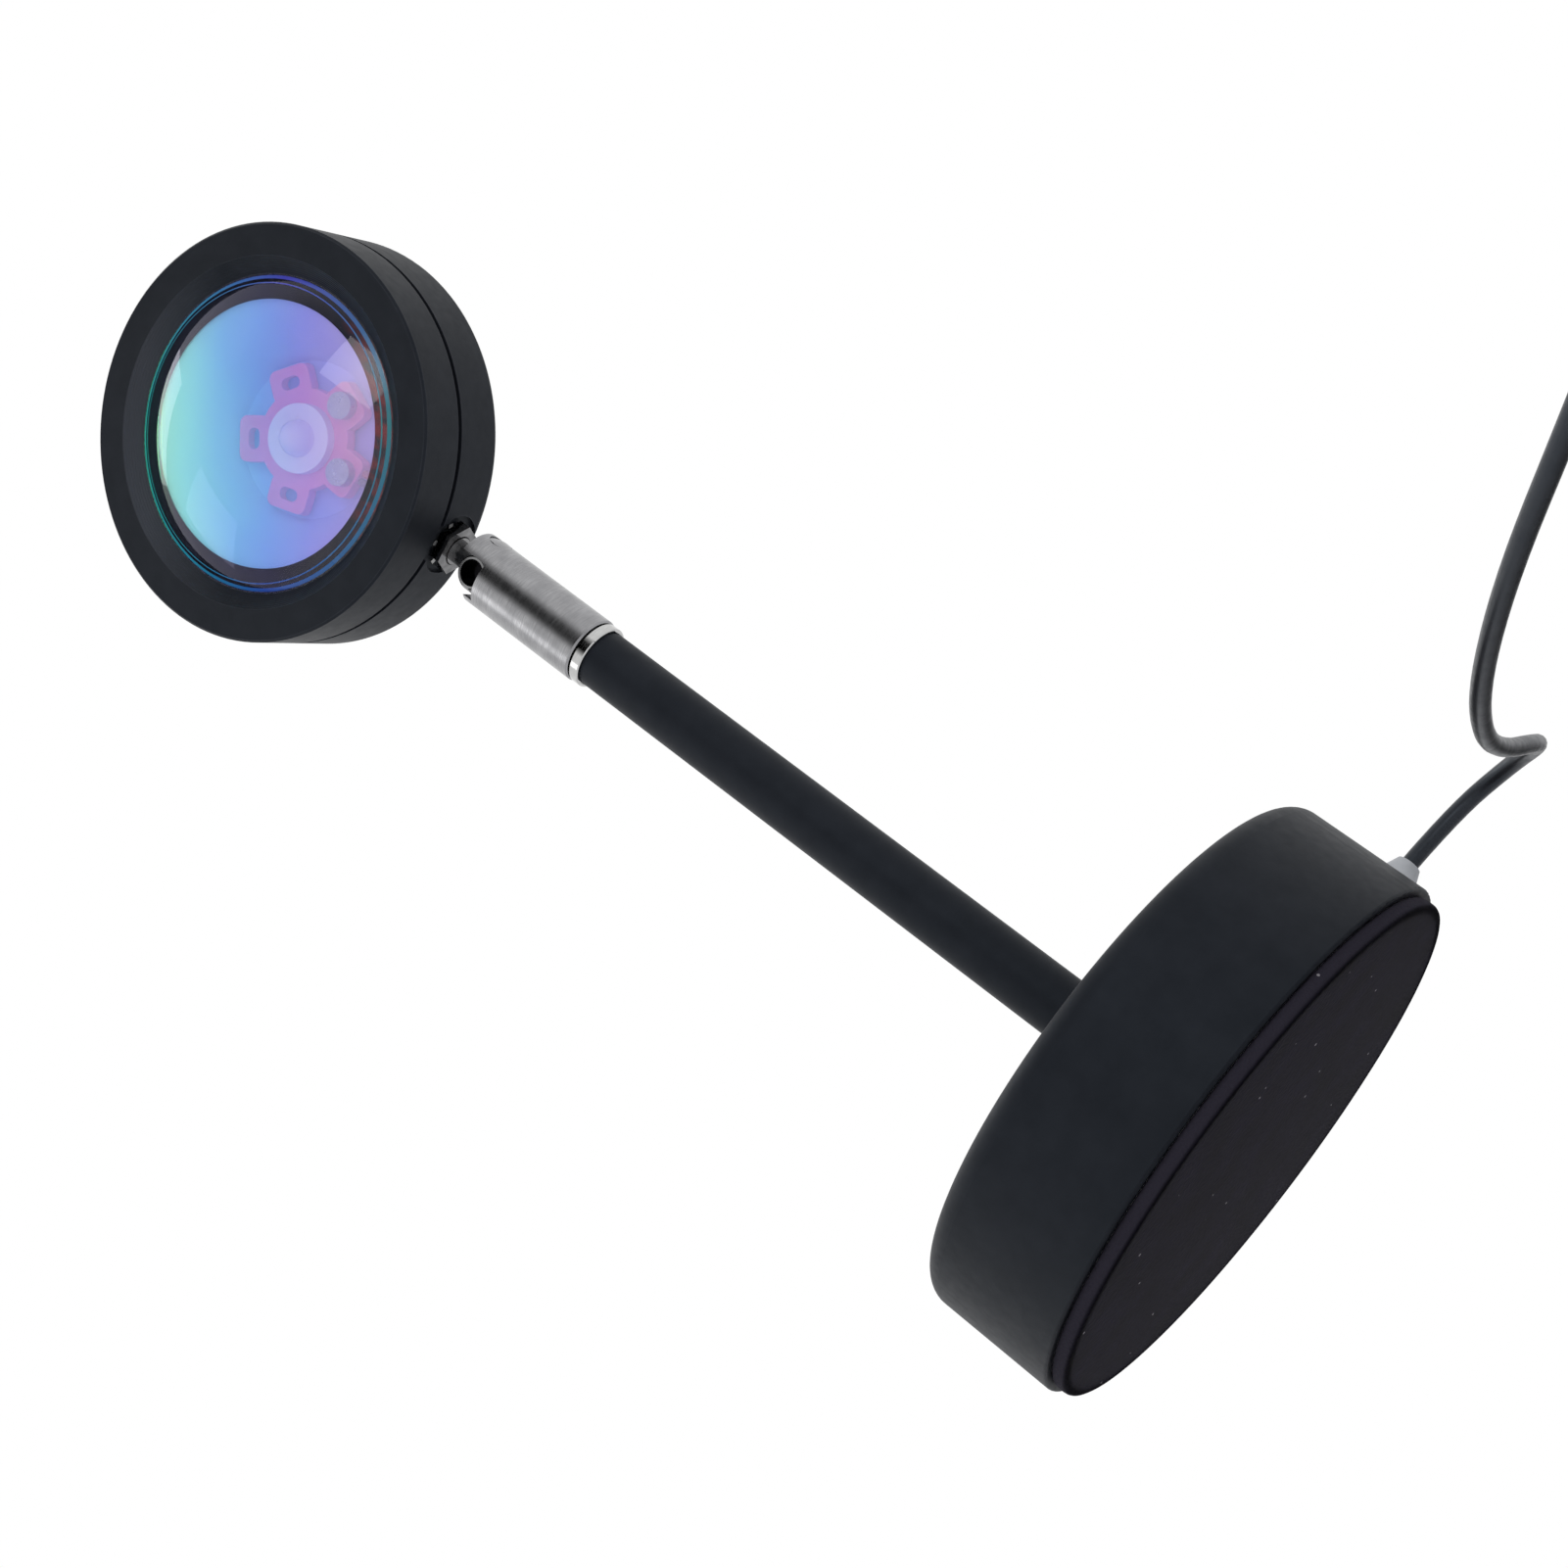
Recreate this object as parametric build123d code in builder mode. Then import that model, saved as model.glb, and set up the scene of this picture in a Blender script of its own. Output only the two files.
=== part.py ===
# Projection lamp on a round weighted base, with a tilting, turning head and a lead to a plug.
# Millimetres. The lamp stands on Z = 0, its stem is the Z axis, and the lens looks along -Y.
import os
from math import asin, cos, pi, radians, sin, tan

from build123d import *

os.makedirs("parts", exist_ok=True)

# Driving sizes: base and stem
BASE_R = 45.0
BASE_TOP = 25.5
PAD_T = 2.5
PAD_INSET = 1.0
SHELL_WALL = 1.5
SHELL_TOP_T = 2.0
SHELL_FILLET = 3.4
PLATE_T = 1.5
BALLAST_H = 9.0
BALLAST_ROOM = 7.0
STEM_R = 5.0
STEM_BORE_R = 4.0
STEM_TOP = 133.5
SCREW_CIRCLE_R = 28.0
BASE_SCREWS = 3

# Driving sizes: turning collar, sleeve and tilt joint
COLLAR_R = 5.6
COLLAR_BOTTOM = 133.0
COLLAR_TOP = 134.9
TURN_GAP = 0.3
SLEEVE_R = 5.8
SLEEVE_BORE_R = 4.6
SLEEVE_TOP = 162.8
SPIGOT_R = 3.95
RUN_CLEARANCE = 0.05
SPIGOT_TOP = 145.5
PIVOT_Z = 160.0
NOTCH_Z = 157.6
REAR_LIP_Z = 159.6
TAB_X = 2.7
CHEEK_X = 3.3
BARREL_R = 3.3
BARREL_X = (-3.5, 2.9)
PIN_R = 1.5
NECK_R = 2.1
THREAD_R = 2.6
WIRE_BORE_R = 1.3
PORT_R = 2.3
PORT_RIM_R = 2.9
PORT_FACE = 4.0

# Driving sizes: head, along Y from the lens side to the back
HEAD_R = 35.4
FACE_Y = -14.55
SEAM_Y = -5.05
BACK_Y = 5.95
HEAD_WALL = 2.0
LIP_T = 2.3
FACE_RING_W = 5.6
LIP_W = 8.4
BEZEL_WALL = 5.2
LENS_RIM_T = 2.25
LENS_DOME_H = 7.95
RING_T = 1.0
RING_W = 8.4
FILTER_T = 1.0
CONE_T = 1.0
STAR_R = 10.5
STAR_T = 1.6
STAR_HUB_R = 7.2
STAR_LOBES = 5
LOBE_L = 4.6
LOBE_W = 6.4
LOBE_HOLE_L = 3.0
LOBE_HOLE_W = 1.8
THERMAL_T = 0.5
SPOT_RISE = 9.4
SPOT_DEPTH = 1.0
BOSS_T = 1.6

# Driving sizes: lead, switch and plug
CORD_D = 2.7
EXIT_ANGLE = 30.0
EXIT_Z = 9.5
GROMMET_NOSE = 4.0
FLOOR_Z = CORD_D / 2
COIL_ACROSS = 11 * CORD_D
COIL_TURNS = 3
COIL_LAYERS = 4
COIL_PITCH = 3.8
COIL_STEP = 3.3
TIE_T = 0.6
TIE_W = 4.0
SWITCH_AXIS_Z = 4.5
SWITCH_L = 44.0
SWITCH_W = 16.0
SWITCH_H = 10.0
SWITCH_WALL = 1.5
BUTTON_R = 4.0
PLUG_BODY = (18.0, 15.0, 8.0)
PLUG_SHELL = (13.5, 12.0, 4.5)

# Smaller sizes that go with the driving ones
UPRIGHT = (Align.CENTER, Align.CENTER, Align.MIN)
FAR = 20.0
PAD_FILLET = 0.6
FOOT_FILLET = 0.5
LEDGE_INSET = 0.3
LEDGE_STEP = 0.5
PLATE_PLAY = 0.1
STEM_NUT_R = 8.0
NIPPLE_STAND = 1.0
GROMMET_FLANGE = 1.0
GROMMET_NECK = 0.9
GROMMET_LIP = 0.6
GROMMET_LIP_L = 1.3
GROMMET_SEAT = 0.1
SCREW_HEAD_R = 3.0
SCREW_R = 1.5
SCREW_GRIP = 6.0
BALLAST_BORE_R = 14.0
CORD_SLOT_W = 5.0
WASHER_T = 1.2
STEM_NUT_H = 4.8
NIPPLE_R = 3.95
NIPPLE_BORE_R = 2.6
NIPPLE_GRIP = 20.0
COLLAR_GRIP = 14.0
STEM_WASHER_R = 9.0
COLLAR_BORE_R = 2.0
GROMMET_R = 2.4
GROMMET_TAIL = 4.5
COLLAR_EDGE = 0.2
SKIRT_PLAY = 0.15
SPIGOT_STEP = 0.9
TURN_NUT_GAP = 0.2
TURN_NUT_H = 2.4
TURN_NUT_PLAY = 0.3
SPIGOT_TIP = 0.2
SLEEVE_EDGE = 0.3
CHEEK_FOOT = 6.5
NOTCH_BACK_X = 4.2
PEEN_RIM = 0.4
PEEN_PLAY = 0.1
PIN_SEAT_X = 5.2
PIN_RIM_T = 0.35
FRICTION_X = 3.0
FRICTION_R = 2.6
BARREL_EDGE = 0.2
PORT_EDGE = 0.25
PEEN_X = -3.9
PIN_HEAD_R = 2.0
PIN_DOME_H = 0.3
NECK_RISE = 6.6
THREAD_STAND = 3.0
PORT_X = -0.3
PORT_FLOOR = 1.9
LOCK_T = 0.4
LOCK_R = 3.7
LOCK_TEETH = 12
LOCK_TOOTH = 0.9
LOCK_TOOTH_AT = 3.9
NECK_NUT_H = 2.2
NECK_NUT_R = 4.6
INNER_NUT_H = 2.0
INNER_NUT_R = 3.9
NUT_EDGE = 0.2
SPOT_R = 5.6
BOSS_R = 3.8
BACK_FILLET = 1.3
BEZEL_EDGE = 0.4
BEZEL_SPIGOT = 1.0
LENS_PLAY = 0.1
DOME_INSET = 0.2
SEAM_W = 0.5
SEAM_DEPTH = 0.9
BOARD_SCREW_R = LOBE_HOLE_W / 2
BOARD_SCREW_GRIP = 1.3
BOARD_SCREW_HEAD_R = 2.0
BOARD_SCREW_HEAD_H = 1.4
LOBE_START = 60.0
LOBE_FILLET = 1.2
HEAT_PAD_INSET = 5.0
CONE_PLAY = 0.2
CONE_FOOT = 0.5
FILTER_LAP = 2.0
LEAD_NOTCH_W = 4.0
LEAD_NOTCH_H = 3.0
SOURCE_R = 5.0
SOURCE_T = 1.5
DOME_LENS_R = 2.7
BEND_SHARE = 0.45
LEAD_RUN = 12.0
HEAD_WIRE_D = 1.1
HEAD_WIRE_X = 0.65
WIRE_STOP = 0.25
WIRE_PLAY = 0.1
TIE_ROOM = 0.4
TIE_ROOM_TOP = 0.3
TIE_FILLET = 1.5
SWITCH_CORNER = 6.0
SWITCH_FILLET = 1.6
POCKET_CORNER = 4.0
BUTTON_PLAY = 0.3
BUTTON_RIM = 1.0
BUTTON_RIM_T = 1.0
BUTTON_DROP = 1.2
BUTTON_FILLET = 0.5
SWITCH_BOARD = (26.0, 10.0, 1.2)
KEY_SIDE = 6.0
KEY_H = 2.4
KEY_TIP_R = 1.7
KEY_TIP_H = 0.6
BUTTON_STAND = 1.4
PLUG_TAIL = 6.0
PLUG_INSET = 2.0
PLUG_CORNER = 2.0
PLUG_TAIL_R = (3.0, 2.0)
PLUG_SHELL_CORNER = 0.6
PLUG_SHELL_WALL = 0.35
PLUG_WINDOW = 2.2
PLUG_WINDOW_AT = 5.0
TONGUE_PLAY = 0.5
CONTACT_W = 1.0
CONTACT_T = 0.2
CONTACT_PITCH = 2.2
CONTACT_START = 3.0
CONTACT_TRIM = 4.5
TONGUE_T = 1.8

# Places that follow from the sizes
SPIGOT_STEP_Z = SPIGOT_TOP + TURN_NUT_GAP
TURN_NUT_TOP = SPIGOT_STEP_Z + TURN_NUT_H
SPOT_Z = PIVOT_Z + SPOT_RISE
BOSS_Z = SPOT_Z + BOSS_T
HEAD_Z = SPOT_Z - SPOT_DEPTH + HEAD_R
FACE_INNER_R = HEAD_R - FACE_RING_W
OPENING_R = HEAD_R - LIP_W
LENS_BORE_R = HEAD_R - BEZEL_WALL
NECK_TOP = PIVOT_Z + NECK_RISE
THREAD_TOP = BOSS_Z + THREAD_STAND
PAD_R = BASE_R - PAD_INSET
BALLAST_R = BASE_R - BALLAST_ROOM
GROMMET_END_R = BASE_R + GROMMET_NOSE
GROMMET_IN_R = BASE_R - GROMMET_TAIL
LENS_FRONT = FACE_Y + LIP_T
LENS_BACK = LENS_FRONT + LENS_RIM_T
RING_BACK = LENS_BACK + RING_T
RING_IN_R = LENS_BORE_R - RING_W
FILTER_BACK = RING_BACK + FILTER_T
FLOOR_Y = BACK_Y - HEAD_WALL
BOARD_FRONT = FLOOR_Y - THERMAL_T - STAR_T
BOARD_MID_Y = BOARD_FRONT + STAR_T / 2
BOARD_SCREW_AT = STAR_R - LOBE_L / 2
BOARD_SCREW_TURNS = [radians(LOBE_START + 360 / STAR_LOBES * lobe) for lobe in (2, 3)]
BOARD_SCREW_SPOTS = [(BOARD_SCREW_AT * cos(turn), BOARD_SCREW_AT * sin(turn)) for turn in BOARD_SCREW_TURNS]
PLATE_TOP = PAD_T + PLATE_T
SHELL_UNDER = BASE_TOP - SHELL_TOP_T
EXIT_X = cos(radians(EXIT_ANGLE))
EXIT_Y = sin(radians(EXIT_ANGLE))
COIL_OUT_R = COIL_ACROSS / 2 + COIL_TURNS * COIL_PITCH / 2
COIL_X = 226.0
SWITCH_X = 164.0
SWITCH_Y = -92.0
COIL_Y = SWITCH_Y + COIL_OUT_R
COIL_Z = TIE_T + CORD_D / 2
COIL_END_Y = COIL_Y + COIL_OUT_R
COIL_END_Z = COIL_Z + (COIL_LAYERS - 1) * COIL_STEP
PLUG_Z = PLUG_BODY[2] / 2
PLUG_REAR_X = 184.0
PLUG_BORE_W = PLUG_SHELL[1] - 2 * PLUG_SHELL_WALL
PLUG_BORE_H = PLUG_SHELL[2] - 2 * PLUG_SHELL_WALL

# Planes and axes that many pieces share
HEAD_AXIS = Axis((0, 0, HEAD_Z), (0, 1, 0))
HEAD_SIDE = Plane(origin=(0, 0, HEAD_Z), x_dir=(0, 1, 0), z_dir=(1, 0, 0))
FLOOR_PLANE = Plane(origin=(0, FLOOR_Y, HEAD_Z), x_dir=(-1, 0, 0), z_dir=(0, 1, 0))
PIVOT_AXIS = Axis((0, 0, PIVOT_Z), (1, 0, 0))
PIVOT_PLANE = Plane(origin=(0, 0, PIVOT_Z), x_dir=(0, 1, 0), z_dir=(1, 0, 0))
PIVOT_SIDE = Plane(origin=(0, 0, PIVOT_Z), x_dir=(1, 0, 0), z_dir=(0, -1, 0))
PORT_PLANE = Plane(origin=(PORT_X, 0, PIVOT_Z), x_dir=(1, 0, 0), z_dir=(0, -1, 0))
PORT_SIDE = Plane(origin=(PORT_X, 0, PIVOT_Z), x_dir=(0, -1, 0), z_dir=(-1, 0, 0))
EXIT_AXIS = Axis((0, 0, EXIT_Z), (EXIT_X, EXIT_Y, 0))
EXIT_PLANE = Plane(origin=(EXIT_X * BASE_R, EXIT_Y * BASE_R, EXIT_Z), z_dir=(EXIT_X, EXIT_Y, 0))
EXIT_SIDE = Plane(origin=(0, 0, EXIT_Z), x_dir=(EXIT_X, EXIT_Y, 0), z_dir=(EXIT_Y, -EXIT_X, 0))


def save(builder, label):
    """Names a finished piece and writes its file."""
    builder.part.label = label
    export_step(builder.part, f"parts/{label}.step")


def turned(label, points, plane=Plane.XZ, axis=Axis.Z):
    """A turned piece: a closed outline of (along, radius) or (radius, height) points, spun once."""
    with BuildPart() as piece:
        with BuildSketch(plane):
            with BuildLine():
                Polyline(*points, close=True)
            make_face()
        revolve(axis=axis)
    save(piece, label)


def head_turned(label, points):
    """A turned piece of the head: points are (Y, radius)."""
    turned(label, points, HEAD_SIDE, HEAD_AXIS)


def dome_arc(base, rim_r, height):
    """The outline arc of a round dome: from its rim to its top on the axis, height along the axis."""
    round_r = (rim_r**2 + height**2) / (2 * abs(height))
    half = asin(min(rim_r / round_r, 1.0)) / 2
    sign = 1 if height > 0 else -1
    middle = base + height - sign * round_r * (1 - cos(half))
    ThreePointArc((base, rim_r), (middle, round_r * sin(half)), (base + height, 0))


def ring(bottom, top, inner, outer):
    """Outline of a plain ring on the stem's axis."""
    return [(inner, bottom), (outer, bottom), (outer, top), (inner, top)]


# Base
with BuildPart() as pad:
    with BuildSketch(Plane.XY):
        Circle(PAD_R)
    extrude(amount=PAD_T)
    fillet(pad.edges().group_by(Axis.Z)[0], PAD_FILLET)
save(pad, "foam_pad")

LEDGE_R = BASE_R - SHELL_WALL - LEDGE_INSET
with BuildPart() as shell:
    with BuildSketch(Plane.XY.offset(PAD_T)):
        Circle(BASE_R)
    extrude(amount=BASE_TOP - PAD_T)
    fillet(shell.edges().group_by(Axis.Z)[-1], SHELL_FILLET)
    fillet(shell.edges().group_by(Axis.Z)[0], FOOT_FILLET)
    with BuildSketch(Plane.XY.offset(PAD_T)):
        Circle(LEDGE_R)
    extrude(amount=SHELL_UNDER - PAD_T, mode=Mode.SUBTRACT)
    with BuildSketch(Plane.XY.offset(PAD_T)):
        Circle(LEDGE_R + LEDGE_STEP)
    extrude(amount=PLATE_T, mode=Mode.SUBTRACT)
    with BuildSketch(Plane.XY.offset(SHELL_UNDER)):
        Circle(STEM_BORE_R)
    extrude(amount=SHELL_TOP_T, mode=Mode.SUBTRACT)
    with BuildSketch(EXIT_PLANE.offset(-FAR / 4)):
        Circle(GROMMET_R)
    extrude(amount=FAR / 2, mode=Mode.SUBTRACT)
save(shell, "base_shell")

with BuildPart() as plate:
    with BuildSketch(Plane.XY.offset(PAD_T)):
        Circle(LEDGE_R + LEDGE_STEP - PLATE_PLAY)
    extrude(amount=PLATE_T)
    with Locations((0, 0, PAD_T)):
        with PolarLocations(SCREW_CIRCLE_R, BASE_SCREWS):
            Cone(SCREW_HEAD_R, SCREW_R, PLATE_T, align=UPRIGHT, mode=Mode.SUBTRACT)
save(plate, "bottom_plate")

with BuildPart() as ballast:
    with BuildSketch(Plane.XY.offset(PLATE_TOP)):
        Circle(BALLAST_R)
        Circle(BALLAST_BORE_R, mode=Mode.SUBTRACT)
        with PolarLocations(SCREW_CIRCLE_R, BASE_SCREWS):
            Circle(SCREW_R, mode=Mode.SUBTRACT)
    extrude(amount=BALLAST_H)
    with BuildSketch(EXIT_PLANE.offset(-BASE_R)):
        Rectangle(CORD_SLOT_W, 4 * BALLAST_H)
    extrude(amount=BASE_R, mode=Mode.SUBTRACT)
save(ballast, "ballast_ring")

with BuildPart() as base_screws:
    with Locations((0, 0, PAD_T)):
        with PolarLocations(SCREW_CIRCLE_R, BASE_SCREWS):
            Cone(SCREW_HEAD_R, SCREW_R, PLATE_T, align=UPRIGHT)
            Cylinder(SCREW_R, PLATE_T + SCREW_GRIP, align=UPRIGHT)
save(base_screws, "base_screws")

# Stem and what clamps it to the base
NUT_BOTTOM = SHELL_UNDER - WASHER_T - STEM_NUT_H
turned("stem_washer", ring(SHELL_UNDER - WASHER_T, SHELL_UNDER, NIPPLE_R, STEM_WASHER_R))
turned("stem_nipple", ring(NUT_BOTTOM - NIPPLE_STAND, BASE_TOP + NIPPLE_GRIP, NIPPLE_BORE_R, NIPPLE_R))
turned("stem_tube", ring(BASE_TOP, STEM_TOP, STEM_BORE_R, STEM_R))
with BuildPart() as stem_nut:
    with BuildSketch(Plane.XY.offset(NUT_BOTTOM)):
        RegularPolygon(STEM_NUT_R, 6)
        Circle(NIPPLE_R, mode=Mode.SUBTRACT)
    extrude(amount=STEM_NUT_H)
save(stem_nut, "stem_nut")

# Lead bush in the base wall: a collar inside, a neck in the hole and a tapered nose outside
with BuildPart() as grommet:
    with BuildSketch(EXIT_SIDE):
        with BuildLine():
            Polyline(
                (GROMMET_IN_R, CORD_D / 2),
                (GROMMET_IN_R, GROMMET_R + GROMMET_FLANGE),
                (BASE_R - SHELL_WALL - GROMMET_NECK, GROMMET_R + GROMMET_FLANGE),
                (BASE_R - SHELL_WALL - GROMMET_NECK, GROMMET_R),
                (BASE_R + GROMMET_SEAT, GROMMET_R),
                (BASE_R + GROMMET_SEAT, GROMMET_R + GROMMET_LIP),
                (BASE_R + GROMMET_LIP_L, GROMMET_R + GROMMET_LIP),
                (GROMMET_END_R, CORD_D / 2 + GROMMET_LIP),
                (GROMMET_END_R, CORD_D / 2),
                close=True,
            )
        make_face()
    revolve(axis=EXIT_AXIS)
save(grommet, "lead_grommet")

# Turning collar: rests on the stem's end, its spigot carries the sleeve
turned(
    "turn_collar",
    [
        (COLLAR_BORE_R, STEM_TOP - COLLAR_GRIP),
        (NIPPLE_R, STEM_TOP - COLLAR_GRIP),
        (NIPPLE_R, STEM_TOP),
        (STEM_R + SKIRT_PLAY, STEM_TOP),
        (STEM_R + SKIRT_PLAY, COLLAR_BOTTOM),
        (COLLAR_R - COLLAR_EDGE, COLLAR_BOTTOM),
        (COLLAR_R, COLLAR_BOTTOM + COLLAR_EDGE),
        (COLLAR_R, COLLAR_TOP - COLLAR_EDGE),
        (COLLAR_R - COLLAR_EDGE, COLLAR_TOP),
        (SPIGOT_R, COLLAR_TOP),
        (SPIGOT_R, SPIGOT_STEP_Z),
        (SPIGOT_R - SPIGOT_STEP, SPIGOT_STEP_Z),
        (SPIGOT_R - SPIGOT_STEP, TURN_NUT_TOP + SPIGOT_TIP),
        (COLLAR_BORE_R, TURN_NUT_TOP + SPIGOT_TIP),
    ],
)
turned("turn_nut", ring(SPIGOT_STEP_Z, TURN_NUT_TOP, SPIGOT_R - SPIGOT_STEP, SLEEVE_BORE_R - TURN_NUT_PLAY))

# Sleeve: turns on the spigot, and its cut-away top leaves one cheek for the tilt pin
with BuildPart() as sleeve:
    with BuildSketch(Plane.XY.offset(COLLAR_TOP + TURN_GAP)):
        Circle(SLEEVE_R)
        Circle(SPIGOT_R + RUN_CLEARANCE, mode=Mode.SUBTRACT)
    extrude(amount=SLEEVE_TOP - COLLAR_TOP - TURN_GAP)
    lower_rims = sleeve.edges().filter_by(GeomType.CIRCLE).group_by(Axis.Z)[0]
    chamfer(lower_rims.sort_by(SortBy.RADIUS)[-1], SLEEVE_EDGE)
    with BuildSketch(Plane.XY.offset(SPIGOT_TOP)):
        Circle(SLEEVE_BORE_R)
    extrude(amount=SLEEVE_TOP - SPIGOT_TOP, mode=Mode.SUBTRACT)
    with BuildSketch(Plane.XY.offset(PIVOT_Z - CHEEK_FOOT)):
        Circle(SLEEVE_BORE_R + SLEEVE_EDGE)
        with Locations((CHEEK_X + FAR / 2, 0)):
            Rectangle(FAR, FAR, mode=Mode.INTERSECT)
    extrude(amount=SLEEVE_TOP - PIVOT_Z + CHEEK_FOOT)
    with BuildSketch(Plane.XY.offset(NOTCH_Z)):
        with Locations(((TAB_X - NOTCH_BACK_X) / 2, 0)):
            Rectangle(TAB_X + NOTCH_BACK_X, FAR)
    extrude(amount=FAR, mode=Mode.SUBTRACT)
    with BuildSketch(Plane.XY.offset(REAR_LIP_Z)):
        with Locations((TAB_X - FAR / 2, 0)):
            Rectangle(FAR, FAR)
    extrude(amount=FAR, mode=Mode.SUBTRACT)
    with BuildSketch(PIVOT_PLANE):
        Circle(PIN_R)
    extrude(amount=FAR, mode=Mode.SUBTRACT)
    with BuildSketch(PIVOT_PLANE.offset(PIN_SEAT_X)):
        Circle(PIN_HEAD_R + RUN_CLEARANCE)
    extrude(amount=FAR, mode=Mode.SUBTRACT)
save(sleeve, "swivel_sleeve")

# Tilt pin along X with a rounded head sunk in the cheek and a peened end, and its friction washer
with BuildPart() as pin:
    with BuildSketch(PIVOT_SIDE):
        with BuildLine():
            Polyline(
                (PEEN_X, 0),
                (PEEN_X, PIN_R + PEEN_RIM),
                (BARREL_X[0] - PEEN_PLAY, PIN_R + PEEN_RIM),
                (BARREL_X[0] - PEEN_PLAY, PIN_R),
                (PIN_SEAT_X, PIN_R),
                (PIN_SEAT_X, PIN_HEAD_R),
                (PIN_SEAT_X + PIN_RIM_T, PIN_HEAD_R),
            )
            dome_arc(PIN_SEAT_X + PIN_RIM_T, PIN_HEAD_R, PIN_DOME_H)
            Line((PIN_SEAT_X + PIN_RIM_T + PIN_DOME_H, 0), (PEEN_X, 0))
        make_face()
    revolve(axis=PIVOT_AXIS)
save(pin, "tilt_pin")
turned(
    "friction_washer",
    [(FRICTION_X, PIN_R), (CHEEK_X, PIN_R), (CHEEK_X, FRICTION_R), (FRICTION_X, FRICTION_R)],
    PIVOT_SIDE,
    PIVOT_AXIS,
)

# Knuckle: a barrel on the pin, a rimmed port towards the lens side, and a hollow threaded neck
with BuildPart() as knuckle:
    with BuildSketch(PIVOT_PLANE.offset(BARREL_X[0])):
        Circle(BARREL_R)
    extrude(amount=BARREL_X[1] - BARREL_X[0])
    chamfer(knuckle.edges().filter_by(GeomType.CIRCLE), BARREL_EDGE)
    with BuildSketch(PORT_SIDE):
        with BuildLine():
            Polyline(
                (0, 0),
                (PORT_FACE, 0),
                (PORT_FACE, PORT_RIM_R - PORT_EDGE),
                (PORT_FACE - PORT_EDGE, PORT_RIM_R),
                (0, PORT_RIM_R),
                close=True,
            )
        make_face()
    revolve(axis=Axis((PORT_X, 0, PIVOT_Z), (0, -1, 0)))
    with BuildSketch(Plane.XY.offset(PIVOT_Z)):
        Circle(NECK_R)
    extrude(amount=NECK_TOP - PIVOT_Z)
    with BuildSketch(Plane.XY.offset(NECK_TOP)):
        Circle(THREAD_R)
    extrude(amount=THREAD_TOP - NECK_TOP)
    with BuildSketch(PORT_PLANE.offset(PORT_FLOOR)):
        Circle(PORT_R)
    extrude(amount=PORT_FACE, mode=Mode.SUBTRACT)
    with BuildSketch(PIVOT_PLANE.offset(BARREL_X[0])):
        Circle(PIN_R + RUN_CLEARANCE)
    extrude(amount=BARREL_X[1] - BARREL_X[0], mode=Mode.SUBTRACT)
    with BuildSketch(Plane.XY.offset(PIVOT_Z + PIN_R)):
        Circle(WIRE_BORE_R)
    extrude(amount=THREAD_TOP, mode=Mode.SUBTRACT)
save(knuckle, "tilt_knuckle")


def thread_nut(label, bottom, height, corner_r):
    """A hexagon nut on the knuckle's thread, one flat towards the lens side."""
    with BuildPart() as nut:
        with BuildSketch(Plane.XY.offset(bottom)):
            RegularPolygon(corner_r, 6)
            Circle(THREAD_R, mode=Mode.SUBTRACT)
        extrude(amount=height)
        chamfer(nut.edges().filter_by(GeomType.CIRCLE), NUT_EDGE)
    save(nut, label)


thread_nut("neck_nut", SPOT_Z - LOCK_T - NECK_NUT_H, NECK_NUT_H, NECK_NUT_R)
thread_nut("inner_nut", BOSS_Z, INNER_NUT_H, INNER_NUT_R)
with BuildPart() as lock_washer:
    with BuildSketch(Plane.XY.offset(SPOT_Z - LOCK_T)):
        Circle(LOCK_R)
        with PolarLocations(LOCK_TOOTH_AT, LOCK_TEETH):
            Rectangle(LOCK_TOOTH, LOCK_TOOTH)
        Circle(THREAD_R, mode=Mode.SUBTRACT)
    extrude(amount=LOCK_T)
save(lock_washer, "lock_washer")

# Head housing: a cup that carries the knuckle's thread and the light board
with BuildPart() as housing:
    with BuildSketch(HEAD_SIDE):
        with BuildLine():
            Polyline(
                (SEAM_Y, HEAD_R - HEAD_WALL),
                (SEAM_Y, HEAD_R - SEAM_DEPTH),
                (SEAM_Y + SEAM_W, HEAD_R - SEAM_DEPTH),
                (SEAM_Y + SEAM_W, HEAD_R),
                (BACK_Y, HEAD_R),
                (BACK_Y, 0),
                (FLOOR_Y, 0),
                (FLOOR_Y, HEAD_R - HEAD_WALL),
                close=True,
            )
        make_face()
    revolve(axis=HEAD_AXIS)
    fillet(housing.edges().group_by(Axis.Y)[-1], BACK_FILLET)
    with BuildSketch(Plane.XY.offset(SPOT_Z)):
        Circle(BOSS_R)
    extrude(amount=BOSS_Z - SPOT_Z)
    with BuildSketch(Plane.XY.offset(SPOT_Z - SPOT_R)):
        Circle(SPOT_R)
    extrude(amount=SPOT_R, mode=Mode.SUBTRACT)
    with BuildSketch(Plane.XY.offset(SPOT_Z)):
        Circle(THREAD_R + RUN_CLEARANCE)
    extrude(amount=BOSS_T + HEAD_WALL, mode=Mode.SUBTRACT)
    with BuildSketch(FLOOR_PLANE):
        with Locations(*BOARD_SCREW_SPOTS):
            Circle(BOARD_SCREW_R)
    extrude(amount=BOARD_SCREW_GRIP, mode=Mode.SUBTRACT)
save(housing, "head_housing")

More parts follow.
